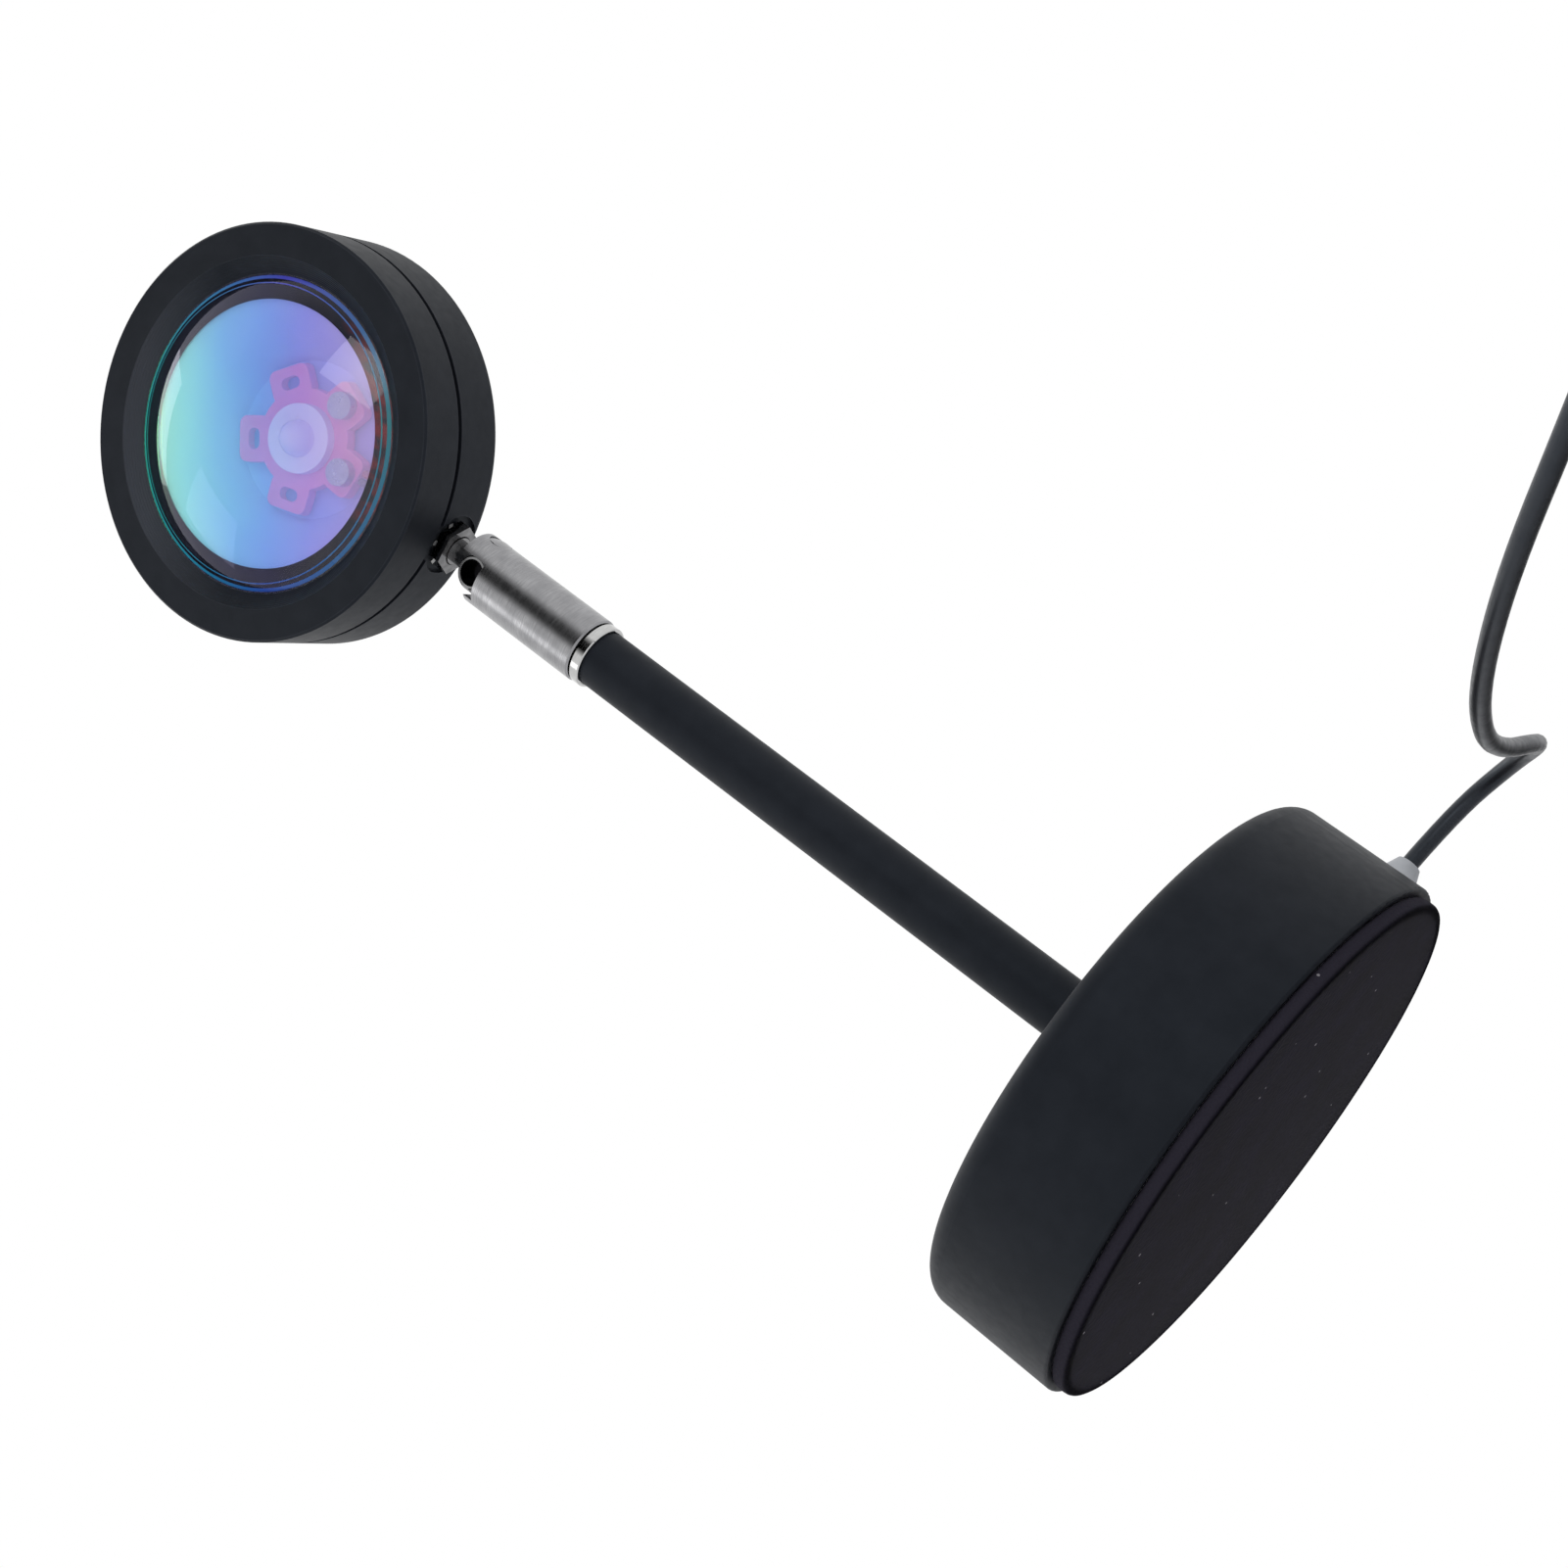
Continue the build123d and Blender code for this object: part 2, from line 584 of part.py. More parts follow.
# Front bezel: lip with a sloped inner edge, lens bore, and a short spigot into the housing
head_turned(
    "head_bezel",
    [
        (FACE_Y, FACE_INNER_R),
        (FACE_Y, HEAD_R - BEZEL_EDGE),
        (FACE_Y + BEZEL_EDGE, HEAD_R),
        (SEAM_Y - SEAM_W, HEAD_R),
        (SEAM_Y - SEAM_W, HEAD_R - SEAM_DEPTH),
        (SEAM_Y, HEAD_R - SEAM_DEPTH),
        (SEAM_Y, HEAD_R - HEAD_WALL),
        (SEAM_Y + BEZEL_SPIGOT, HEAD_R - HEAD_WALL),
        (SEAM_Y + BEZEL_SPIGOT, LENS_BORE_R),
        (LENS_FRONT, LENS_BORE_R),
        (LENS_FRONT, OPENING_R),
    ],
)

# Lens: a domed front on a thin rim, flat at the back
DOME_R = OPENING_R - DOME_INSET
with BuildPart() as lens:
    with BuildSketch(HEAD_SIDE):
        with BuildLine():
            Polyline(
                (LENS_FRONT - LENS_DOME_H, 0),
                (LENS_BACK, 0),
                (LENS_BACK, LENS_BORE_R - LENS_PLAY),
                (LENS_FRONT, LENS_BORE_R - LENS_PLAY),
                (LENS_FRONT, DOME_R),
            )
            dome_arc(LENS_FRONT, DOME_R, -LENS_DOME_H)
        make_face()
    revolve(axis=HEAD_AXIS)
save(lens, "lens")


def head_disc(label, front, back, outer, inner=0.0):
    """A flat disc or ring of the head, between two places along Y."""
    head_turned(label, [(front, inner), (front, outer), (back, outer), (back, inner)])


head_disc("lens_ring", LENS_BACK, RING_BACK, LENS_BORE_R - LENS_PLAY, RING_IN_R)
head_disc("colour_filter", RING_BACK, FILTER_BACK, RING_IN_R + FILTER_LAP)

# Reflector: a dark cone that clamps the lens stack from behind, its foot round the light board
with BuildPart() as cone:
    with BuildSketch(HEAD_SIDE):
        with BuildLine():
            Polyline(
                (FILTER_BACK, RING_IN_R),
                (FILTER_BACK, RING_IN_R + FILTER_LAP + CONE_PLAY),
                (RING_BACK, RING_IN_R + FILTER_LAP + CONE_PLAY),
                (RING_BACK, LENS_BORE_R - LENS_PLAY - CONE_PLAY),
                (FILTER_BACK + CONE_T, LENS_BORE_R - LENS_PLAY - CONE_PLAY),
                (FILTER_BACK + CONE_T, RING_IN_R + CONE_T),
                (FLOOR_Y, STAR_R + CONE_FOOT + CONE_T),
                (FLOOR_Y, STAR_R + CONE_FOOT),
                close=True,
            )
        make_face()
    revolve(axis=HEAD_AXIS)
    with BuildSketch(FLOOR_PLANE.offset(-LEAD_NOTCH_H)):
        with Locations((0, -STAR_R)):
            Rectangle(LEAD_NOTCH_W, STAR_R)
    extrude(amount=LEAD_NOTCH_H, mode=Mode.SUBTRACT)
save(cone, "reflector")

# Light board: a star-shaped plate on a soft heat pad, the light source and its two screws
with BuildPart() as star:
    with BuildSketch(FLOOR_PLANE.offset(-THERMAL_T - STAR_T)):
        Circle(STAR_HUB_R)
        with PolarLocations(STAR_R - LOBE_L / 2, STAR_LOBES, start_angle=LOBE_START):
            RectangleRounded(LOBE_L, LOBE_W, LOBE_FILLET)
        with PolarLocations(STAR_R - LOBE_L / 2, STAR_LOBES, start_angle=LOBE_START):
            SlotOverall(LOBE_HOLE_L, LOBE_HOLE_W, rotation=90, mode=Mode.SUBTRACT)
    extrude(amount=STAR_T)
save(star, "light_board")
with BuildPart() as heat_pad:
    with BuildSketch(FLOOR_PLANE.offset(-THERMAL_T)):
        Circle(STAR_R - HEAT_PAD_INSET)
    extrude(amount=THERMAL_T)
save(heat_pad, "heat_pad")
with BuildPart() as board_screws:
    with BuildSketch(FLOOR_PLANE.offset(-THERMAL_T - STAR_T - BOARD_SCREW_HEAD_H)):
        with Locations(*BOARD_SCREW_SPOTS):
            Circle(BOARD_SCREW_HEAD_R)
    extrude(amount=BOARD_SCREW_HEAD_H)
    with BuildSketch(FLOOR_PLANE.offset(-THERMAL_T - STAR_T)):
        with Locations(*BOARD_SCREW_SPOTS):
            Circle(BOARD_SCREW_R)
    extrude(amount=STAR_T + THERMAL_T + BOARD_SCREW_GRIP)
save(board_screws, "board_screws")
head_disc("light_source", BOARD_FRONT - SOURCE_T, BOARD_FRONT, SOURCE_R)
with BuildPart() as source_dome:
    with BuildSketch(HEAD_SIDE):
        with BuildLine():
            Line((BOARD_FRONT - SOURCE_T, 0), (BOARD_FRONT - SOURCE_T, DOME_LENS_R))
            dome_arc(BOARD_FRONT - SOURCE_T, DOME_LENS_R, -DOME_LENS_R)
            Line((BOARD_FRONT - SOURCE_T - DOME_LENS_R, 0), (BOARD_FRONT - SOURCE_T, 0))
        make_face()
    revolve(axis=HEAD_AXIS)
save(source_dome, "source_dome")


def tube(label, points, diameter):
    """A lead: straight runs joined by tangent arcs as large as the runs allow, and its checks."""
    places = [Vector(*point) for point in points]
    radii = []
    for before, corner, after in zip(places, places[1:], places[2:]):
        run_in = corner - before
        run_out = after - corner
        half_turn = radians(run_in.get_angle(run_out)) / 2
        radii.append(BEND_SHARE * min(run_in.length, run_out.length) / tan(half_turn))
    with BuildPart() as lead:
        with BuildLine() as route:
            FilletPolyline(*places, radius=radii)
        with BuildSketch(Plane(origin=places[0], z_dir=places[1] - places[0])):
            Circle(diameter / 2)
        sweep(path=route.wires()[0])
    length = route.wires()[0].length
    share = lead.part.volume / (length * pi * diameter**2 / 4)
    print(label, "length", round(length, 1), "volume share", round(share, 4))
    print(label, "radii", [round(radius, 1) for radius in radii])
    save(lead, label)


# Wiring that stays inside: the lead through base and stem, and the pair behind the reflector
tube(
    "stem_lead",
    [
        (GROMMET_IN_R * EXIT_X, GROMMET_IN_R * EXIT_Y, EXIT_Z),
        (20 * EXIT_X, 20 * EXIT_Y, EXIT_Z),
        (0, 0, EXIT_Z + 1.5),
        (0, 0, 32),
        (1.0, 0, 60),
        (1.0, 0, 95),
        (0, 0, 120),
        (0, 0, SPIGOT_STEP_Z + SPIGOT_STEP * 2),
    ],
    CORD_D,
)
for lead_label, side in (("head_lead_red", HEAD_WIRE_X), ("head_lead_black", -HEAD_WIRE_X)):
    tube(
        lead_label,
        [
            (side, 0, BOSS_Z - 1.0),
            (side, 0, THREAD_TOP + 6.0),
            (side, BOARD_MID_Y, HEAD_Z - STAR_R - 6.3),
            (side, BOARD_MID_Y, HEAD_Z - STAR_R - WIRE_STOP),
        ],
        HEAD_WIRE_D,
    )

# Lead outside: out of the bush, down to the table and along it to the switch
tube(
    "lead_to_switch",
    [
        (GROMMET_END_R * EXIT_X, GROMMET_END_R * EXIT_Y, EXIT_Z),
        (52.0, 30.1, EXIT_Z - 0.3),
        (62.5, 29.0, FLOOR_Z + 4.7),
        (69.0, 20.0, FLOOR_Z + 1.2),
        (70.0, 6.5, FLOOR_Z),
        (69.5, -9.0, FLOOR_Z),
        (72.0, -26.0, FLOOR_Z),
        (80.0, -46.0, FLOOR_Z),
        (94.5, -66.0, FLOOR_Z),
        (114.0, -82.0, FLOOR_Z),
        (131.0, SWITCH_Y + 0.4, FLOOR_Z + 1.2),
        (SWITCH_X - SWITCH_L / 2, SWITCH_Y, SWITCH_AXIS_Z),
    ],
    CORD_D,
)
tube(
    "lead_to_coil",
    [
        (SWITCH_X + SWITCH_L / 2, SWITCH_Y, SWITCH_AXIS_Z),
        (SWITCH_X + SWITCH_L / 2 + LEAD_RUN, SWITCH_Y, SWITCH_AXIS_Z),
        (COIL_X - CORD_D - LEAD_RUN, SWITCH_Y, COIL_Z),
        (COIL_X - CORD_D, SWITCH_Y, COIL_Z),
    ],
    CORD_D,
)
tube(
    "lead_to_plug",
    [
        (COIL_X - CORD_D, COIL_END_Y, COIL_END_Z),
        (COIL_X - CORD_D - LEAD_RUN, COIL_END_Y, COIL_END_Z),
        (PLUG_REAR_X + LEAD_RUN, COIL_END_Y, PLUG_Z),
        (PLUG_REAR_X, COIL_END_Y, PLUG_Z),
    ],
    CORD_D,
)


def coil_stations():
    """Where each half turn of the coil starts: radius and height, layer by layer, in and out again."""
    stations = []
    for layer in range(COIL_LAYERS):
        for half in range(2 * COIL_TURNS + 1):
            inward = half if layer % 2 == 0 else 2 * COIL_TURNS - half
            stations.append((COIL_OUT_R - inward * COIL_PITCH / 2, COIL_Z + layer * COIL_STEP))
    return stations


def biarc(start, start_dir, end, end_dir):
    """Two arcs from one place and direction to another, meeting in one tangent."""
    chord = end - start
    total = start_dir + end_dir
    spread = 2 * (1 - start_dir.dot(end_dir))
    along = chord.dot(total)
    reach = (-along + (along**2 + spread * chord.dot(chord)) ** 0.5) / spread
    first_corner = start + start_dir * reach
    second_corner = end - end_dir * reach
    middle = (first_corner + second_corner) * 0.5
    TangentArc(start, middle, tangent=start_dir)
    TangentArc(middle, end, tangent=second_corner - first_corner)


def least_gap(path, diameter, half_turns):
    """Least space between turns, from points along the path that are over a third of a turn apart."""
    per_half_turn = 24
    count = half_turns * per_half_turn
    points = [path @ (step / count) for step in range(count + 1)]
    apart = per_half_turn * 2 // 3
    centres = min(
        (points[i] - points[j]).length
        for i in range(count + 1)
        for j in range(i + apart, count + 1)
    )
    return centres - diameter


# Coil: one unbroken tube that spirals in and out, climbing a layer where it turns back
with BuildPart() as coil:
    with BuildLine() as winding:
        stations = coil_stations()
        places = []
        for index, (radius, height) in enumerate(stations):
            side = -1 if index % 2 == 0 else 1
            places.append((Vector(COIL_X, COIL_Y + side * radius, height), Vector(-side, 0, 0)))
        Line(places[0][0] - places[0][1] * CORD_D, places[0][0])
        for (start, start_dir), (end, end_dir) in zip(places, places[1:]):
            biarc(start, start_dir, end, end_dir)
        Line(places[-1][0], places[-1][0] + places[-1][1] * CORD_D)
    with BuildSketch(Plane(origin=places[0][0] - places[0][1] * CORD_D, z_dir=places[0][1])):
        Circle(CORD_D / 2)
    sweep(path=winding.wires()[0])
coil_length = winding.wires()[0].length
coil_share = coil.part.volume / (coil_length * pi * CORD_D**2 / 4)
print("coil length", round(coil_length, 1), "volume share", round(coil_share, 4))
print("coil least gap", round(least_gap(winding.wires()[0], CORD_D, len(stations) - 1), 3))
save(coil, "lead_coil")

# Tie round the coil's winding, on the side away from the lamp
TIE_IN_R = COIL_OUT_R - COIL_TURNS * COIL_PITCH - CORD_D / 2 - TIE_ROOM
TIE_OUT_R = COIL_OUT_R + CORD_D / 2 + TIE_ROOM
TIE_TOP = COIL_END_Z + CORD_D / 2 + TIE_ROOM_TOP
with BuildPart() as tie:
    with BuildSketch(Plane(origin=(COIL_X, COIL_Y, 0), x_dir=(1, 0, 0), z_dir=(0, -1, 0)).offset(-TIE_W / 2)):
        with Locations(((TIE_IN_R + TIE_OUT_R) / 2, (TIE_TOP + TIE_T) / 2)):
            RectangleRounded(TIE_OUT_R - TIE_IN_R + 2 * TIE_T, TIE_TOP + TIE_T, TIE_FILLET)
            RectangleRounded(TIE_OUT_R - TIE_IN_R, TIE_TOP - TIE_T, TIE_FILLET - TIE_T, mode=Mode.SUBTRACT)
    extrude(amount=TIE_W)
save(tie, "lead_tie")

# In-line switch: two snapped shells, a small board with a key, and the push button
SWITCH_PLANE = Plane(origin=(SWITCH_X, SWITCH_Y, 0))


def switch_shell(label, bottom, top, pocket_bottom, pocket_top, button_hole):
    """One half of the switch case, with half of each lead hole at the split."""
    with BuildPart() as half:
        with BuildSketch(SWITCH_PLANE.offset(bottom)):
            RectangleRounded(SWITCH_L, SWITCH_W, SWITCH_CORNER)
        extrude(amount=top - bottom)
        outer = half.edges().group_by(Axis.Z)
        fillet(outer[0] if bottom == 0 else outer[-1], SWITCH_FILLET)
        with BuildSketch(SWITCH_PLANE.offset(pocket_bottom)):
            RectangleRounded(SWITCH_L - 4 * SWITCH_WALL, SWITCH_W - 2 * SWITCH_WALL, POCKET_CORNER)
        extrude(amount=pocket_top - pocket_bottom, mode=Mode.SUBTRACT)
        with BuildSketch(Plane.YZ.offset(SWITCH_X - SWITCH_L / 2)):
            with Locations((SWITCH_Y, SWITCH_AXIS_Z)):
                Circle(CORD_D / 2 + WIRE_PLAY)
        extrude(amount=SWITCH_L, mode=Mode.SUBTRACT)
        if button_hole:
            with BuildSketch(SWITCH_PLANE.offset(pocket_top)):
                Circle(BUTTON_R + BUTTON_PLAY)
            extrude(amount=top, mode=Mode.SUBTRACT)
    save(half, label)


switch_shell("switch_lower", 0, SWITCH_AXIS_Z, SWITCH_WALL, SWITCH_AXIS_Z, False)
switch_shell("switch_upper", SWITCH_AXIS_Z, SWITCH_H, SWITCH_AXIS_Z, SWITCH_H - SWITCH_WALL, True)
with BuildPart() as button:
    with BuildSketch(SWITCH_PLANE.offset(SWITCH_H - SWITCH_WALL - BUTTON_DROP)):
        Circle(BUTTON_R + BUTTON_RIM)
    extrude(amount=BUTTON_RIM_T)
    with BuildSketch(SWITCH_PLANE.offset(SWITCH_H - SWITCH_WALL - BUTTON_DROP)):
        Circle(BUTTON_R)
    extrude(amount=SWITCH_WALL + BUTTON_DROP + BUTTON_STAND)
    fillet(button.edges().group_by(Axis.Z)[-1], BUTTON_FILLET)
save(button, "switch_button")
with BuildPart() as switch_board:
    with BuildSketch(SWITCH_PLANE.offset(SWITCH_WALL)):
        Rectangle(SWITCH_BOARD[0], SWITCH_BOARD[1])
    extrude(amount=SWITCH_BOARD[2])
    with BuildSketch(SWITCH_PLANE.offset(SWITCH_WALL + SWITCH_BOARD[2])):
        Rectangle(KEY_SIDE, KEY_SIDE)
    extrude(amount=KEY_H)
    with BuildSketch(SWITCH_PLANE.offset(SWITCH_WALL + SWITCH_BOARD[2] + KEY_H)):
        Circle(KEY_TIP_R)
    extrude(amount=KEY_TIP_H)
save(switch_board, "switch_board")

# Plug: moulded body with a tapered tail, a metal shell, its insulating tongue and contacts
PLUG_PLANE = Plane(origin=(PLUG_REAR_X - PLUG_TAIL, COIL_END_Y, PLUG_Z), x_dir=(0, 1, 0), z_dir=(-1, 0, 0))
with BuildPart() as plug_body:
    with BuildSketch(PLUG_PLANE):
        RectangleRounded(PLUG_BODY[1], PLUG_BODY[2], PLUG_CORNER)
    extrude(amount=PLUG_BODY[0])
    with BuildSketch(PLUG_PLANE):
        Circle(PLUG_TAIL_R[0])
    with BuildSketch(PLUG_PLANE.offset(-PLUG_TAIL)):
        Circle(PLUG_TAIL_R[1])
    loft()
    with BuildSketch(PLUG_PLANE.offset(PLUG_BODY[0] - PLUG_INSET)):
        RectangleRounded(PLUG_SHELL[1], PLUG_SHELL[2], PLUG_SHELL_CORNER)
    extrude(amount=PLUG_INSET, mode=Mode.SUBTRACT)
save(plug_body, "plug_body")
with BuildPart() as plug_shell:
    with BuildSketch(PLUG_PLANE.offset(PLUG_BODY[0] - PLUG_INSET)):
        RectangleRounded(PLUG_SHELL[1], PLUG_SHELL[2], PLUG_SHELL_CORNER)
        RectangleRounded(PLUG_BORE_W, PLUG_BORE_H, PLUG_SHELL_CORNER - PLUG_SHELL_WALL, mode=Mode.SUBTRACT)
    extrude(amount=PLUG_SHELL[0])
    with BuildSketch(Plane.XY.offset(PLUG_Z)):
        with Locations((PLUG_REAR_X - PLUG_TAIL - PLUG_BODY[0] - PLUG_WINDOW_AT, COIL_END_Y)):
            with GridLocations(0, PLUG_WINDOW_AT, 1, 2):
                Rectangle(PLUG_WINDOW, PLUG_WINDOW)
    extrude(amount=PLUG_WINDOW_AT, mode=Mode.SUBTRACT)
save(plug_shell, "plug_shell")
with BuildPart() as tongue:
    with BuildSketch(PLUG_PLANE.offset(PLUG_BODY[0] - PLUG_INSET)):
        with Locations((0, (TONGUE_T - PLUG_BORE_H) / 2)):
            Rectangle(PLUG_BORE_W - 2 * TONGUE_PLAY, TONGUE_T)
    extrude(amount=PLUG_SHELL[0] - TONGUE_PLAY)
save(tongue, "plug_tongue")
with BuildPart() as contacts:
    with BuildSketch(PLUG_PLANE.offset(PLUG_BODY[0] - PLUG_INSET + CONTACT_START)):
        with Locations((0, TONGUE_T + (CONTACT_T - PLUG_BORE_H) / 2)):
            with GridLocations(CONTACT_PITCH, 0, 4, 1):
                Rectangle(CONTACT_W, CONTACT_T)
    extrude(amount=PLUG_SHELL[0] - CONTACT_TRIM)
save(contacts, "plug_contacts")
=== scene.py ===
# Dresses the projection lamp: camera, floor, lights, lead, foam pad and the materials of every piece.
import math

import bmesh
import bpy
from mathutils import Matrix, Vector


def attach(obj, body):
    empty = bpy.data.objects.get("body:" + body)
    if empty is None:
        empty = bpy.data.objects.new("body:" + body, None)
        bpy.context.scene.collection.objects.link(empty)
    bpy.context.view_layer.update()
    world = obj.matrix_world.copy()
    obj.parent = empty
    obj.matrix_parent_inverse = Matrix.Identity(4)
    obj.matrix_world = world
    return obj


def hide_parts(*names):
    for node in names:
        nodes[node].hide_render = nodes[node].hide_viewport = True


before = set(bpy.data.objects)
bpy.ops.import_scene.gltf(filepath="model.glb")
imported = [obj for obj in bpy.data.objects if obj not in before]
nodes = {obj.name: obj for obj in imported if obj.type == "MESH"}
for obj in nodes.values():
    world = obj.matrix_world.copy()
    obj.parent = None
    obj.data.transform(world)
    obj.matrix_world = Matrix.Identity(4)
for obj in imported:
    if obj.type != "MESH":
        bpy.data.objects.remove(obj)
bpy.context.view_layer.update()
MM = 0.001

# Camera, fitted to the photo: it looks up at the lamp from below the table's level
PHOTO_PX = 1601
FOCAL_PX = 2652.4
SENSOR_MM = 36.0
CAMERA_AT = (122.1, -359.4, -61.9)
CAMERA_RIGHT = (0.4740, 0.4785, -0.7392)
CAMERA_UP = (0.8301, 0.0373, 0.5564)
CAMERA_NEAR = 0.01

# Lead, as its route in the part: out of the bush, down, along the table, switch, coil, plug
CORD_D = 2.7
FLOOR_Z = CORD_D / 2
EXIT_ANGLE = math.radians(30.0)
EXIT_R = 49.0
EXIT_Z = 9.5
STRAIGHT_RUN = 12.0
SWITCH_ENDS = (142.0, 186.0)
SWITCH_Y = -92.0
SWITCH_Z = 4.5
COIL_X = 226.0
COIL_ACROSS = 11 * CORD_D
COIL_TURNS = 3
COIL_LAYERS = 4
COIL_PITCH = 3.8
COIL_STEP = 3.3
COIL_LIFT = 0.6
COIL_OUT_R = COIL_ACROSS / 2 + COIL_TURNS * COIL_PITCH / 2
COIL_Y = SWITCH_Y + COIL_OUT_R
COIL_Z = COIL_LIFT + CORD_D / 2
PLUG_X = 184.0
PLUG_Z = 4.0

# The lead's curve: its points in the coil, its order, and its steps between points and round the cord
POINTS_PER_HALF_TURN = 10
LEAD_ORDER = 3
LEAD_SMOOTH = 6
LEAD_ROUND = 5

# How much a curve of that order takes from a point and from the point's two neighbours
CURVE_OWN = 0.75
CURVE_BESIDE = 0.25

# Foam pad: outline from the underside up, as inset from its edge and height
PAD_R = 44.0
PAD_UNEVEN = 0.12
PAD_WAVES = (7, 3)
PAD_WAVE_SHIFT = 1.0
PAD_STEPS = 128
PAD_PROFILE = [
    (0.9, 0.0),
    (0.5, 0.05),
    (0.2, 0.22),
    (0.05, 0.5),
    (0.0, 0.9),
    (0.0, 1.8),
    (0.1, 2.25),
    (0.35, 2.5),
]

# Floor, in metres
FLOOR_AT = -0.0004
FLOOR_HOLE = 0.0425
FLOOR_OUT = 3.0
FLOOR_STEPS = 64
FLOOR_COLOUR = (0.86, 0.86, 0.87)
FLOOR_ROUGH = 0.8

# Studio flag: part of a ball, in metres, dark inside soft edges that are given by direction
FRONT_SIDE = (0.32, -0.95, 0.0)
FLAG_R = 1.6
FLAG_Z = 0.17
FLAG_HALF = math.radians(38.0)
FLAG_LOW = math.radians(2.5)
FLAG_HIGH = math.radians(58.5)
FLAG_STEPS = 16
FLAG_ROWS = 12
FLAG_SIDES = (0.80, 0.97)
FLAG_FOOT = (0.05, 0.30)
FLAG_HEAD = (0.65, 0.85)

# Soft boxes that look at the head's middle: name, place and size in millimetres, power in watts
HEAD_Z = 203.8
HEAD_MIDDLE = (0.0, 0.0, HEAD_Z)
BOX_SPREAD = math.radians(90.0)
SOFT_BOXES = [
    ("box_upper_right", (318, -530, 232), (200, 290), 0.12),
    ("box_left", (-203, 84, 752), (385, 265), 0.17),
    ("box_lower_left", (-441, -267, 526), (210, 250), 0.045),
]

# Directions on the lens's face, seen from the photo's side
FACE_RIGHT = (0.54, -0.84)
FACE_UP = (0.83, 0.557)

# The coating's film behind the lens
FILM_COVER = 0.28
FILM_LEAN = 0.05
FILM_SHIFT = 2.5
FILM_WAVE = 2.5
FILM_WAVE_GRAIN = 22.0
FILM_HALF = 22.0
FILM_GRAIN = 6.0
FILM_ROUGH = (0.5, 0.6)
FILM_GLOSS = 0.05
FILM_STOPS = [
    (0.0, (0.42, 1.0, 0.72)),
    (0.18, (0.36, 0.95, 0.94)),
    (0.36, (0.26, 0.62, 1.0)),
    (0.52, (0.27, 0.46, 1.0)),
    (0.72, (0.41, 0.39, 0.98)),
    (1.0, (0.62, 0.50, 0.84)),
]
FILM_SPECK = (0.08, 0.10, 0.22)
SPECK_APART = 2.6
SPECK_SIZE = 0.05
# The cone behind the film: grain and roughness; its colour is a painted reflection of the film's colours
CONE_GRAIN = 3.0
CONE_ROUGH = (0.35, 0.5)
# Where the housing's inner floor takes a painted reflection of the film's colours
INNER_FLOOR_Y = 4.15
INNER_FLOOR_R = 11.5

# Lens: glass, and the tint of what it mirrors, from its left edge to its right
LENS_BODY = (0.97, 0.99, 1.0)
LENS_GRAIN = 5.0
LENS_ROUGH = (0.0, 0.012)
LENS_BEND = 1.5
LENS_BACK_BEND = 1.12
LENS_BACK_Y = -10.05
LENS_FILM_NM = 230.0
LENS_FILM_BEND = 1.8
LENS_FILM_EDGE = (-21.5, -20.5)
LENS_MINT = (0.30, 1.0, 0.62)
LENS_PURPLE = (0.42, 0.38, 0.85)
LENS_WHITE = (1.0, 0.97, 1.0)
MINT_EDGE = (-19.5, -17.5)
WHITE_EDGE = (2.0, 12.0)
DOME_ROUND = 49.15
DOME_MIDDLE_Y = 28.95
DOME_EDGE_Y = -12.3

# Bands on the lens's edge that carry a painted coloured reflection
RIM_OUTER = (26.15, 26.75)
RIM_INNER = (25.3, 25.5)
RIM_PROUD = 0.06
RIM_STEPS = 96
RIM_GRAIN = 4.0
RIM_ROUGH = (0.12, 0.28)
RIM_REFLECTION_STOPS = [
    (0.0, (0.03, 0.50, 0.42)),
    (0.25, (0.015, 0.06, 0.36)),
    (0.5, (0.012, 0.17, 0.20)),
    (0.72, (0.06, 0.06, 0.44)),
    (1.0, (0.03, 0.50, 0.42)),
]

# Ring behind the lens, and the painted red reflection in streaks at its right side
RING_DARK = (0.008, 0.008, 0.018)
RING_LIGHT = (0.014, 0.013, 0.030)
RING_RED_REFLECTION = (0.16, 0.012, 0.018)
RING_ROUGH = (0.3, 0.45)
RING_GLOSS = 0.3
RED_REFLECTION_SIDE = (15.0, 22.0)
REFLECTION_STREAK_GRAIN = 1.6
REFLECTION_STREAK_STRETCH = (1, 1, 0.4)
REFLECTION_STREAK_SPAN = (0.42, 0.62)

# Blender's mix node has several sockets of one name, so those for colours and vectors go by number
MIX_COLOURS = (6, 7)
MIX_COLOUR_OUT = 2
MIX_VECTORS = (4, 5)
MIX_VECTOR_OUT = 1

# The middle part of a noise, which holds nearly all of it
NOISE_SPAN = (0.3, 0.7)

# Coated surfaces: grain counts, worn edges and relief
MOTTLE_GRAINS = 14
SHEEN_GRAINS = 5
EDGE_REACH = 0.25
EDGE_SAMPLES = 6
EDGE_BENDS = (0.99, 0.85)
WEAR_GRAIN = 2.5
WEAR_SPAN = (0.35, 0.65)
WEAR_LEAST = 0.35
COAT_RELIEF = 0.35
COOL_TINT = (0.70, 0.83, 1.0, 1.0)
SIMPLE_GRAIN = 0.4
SIMPLE_DEPTH = 0.01

# The lamp's black coating
BLACK_DARK = (0.0062, 0.0070, 0.0095)
BLACK_LIGHT = (0.0094, 0.0105, 0.0138)
BLACK_WORN = (0.040, 0.043, 0.054)
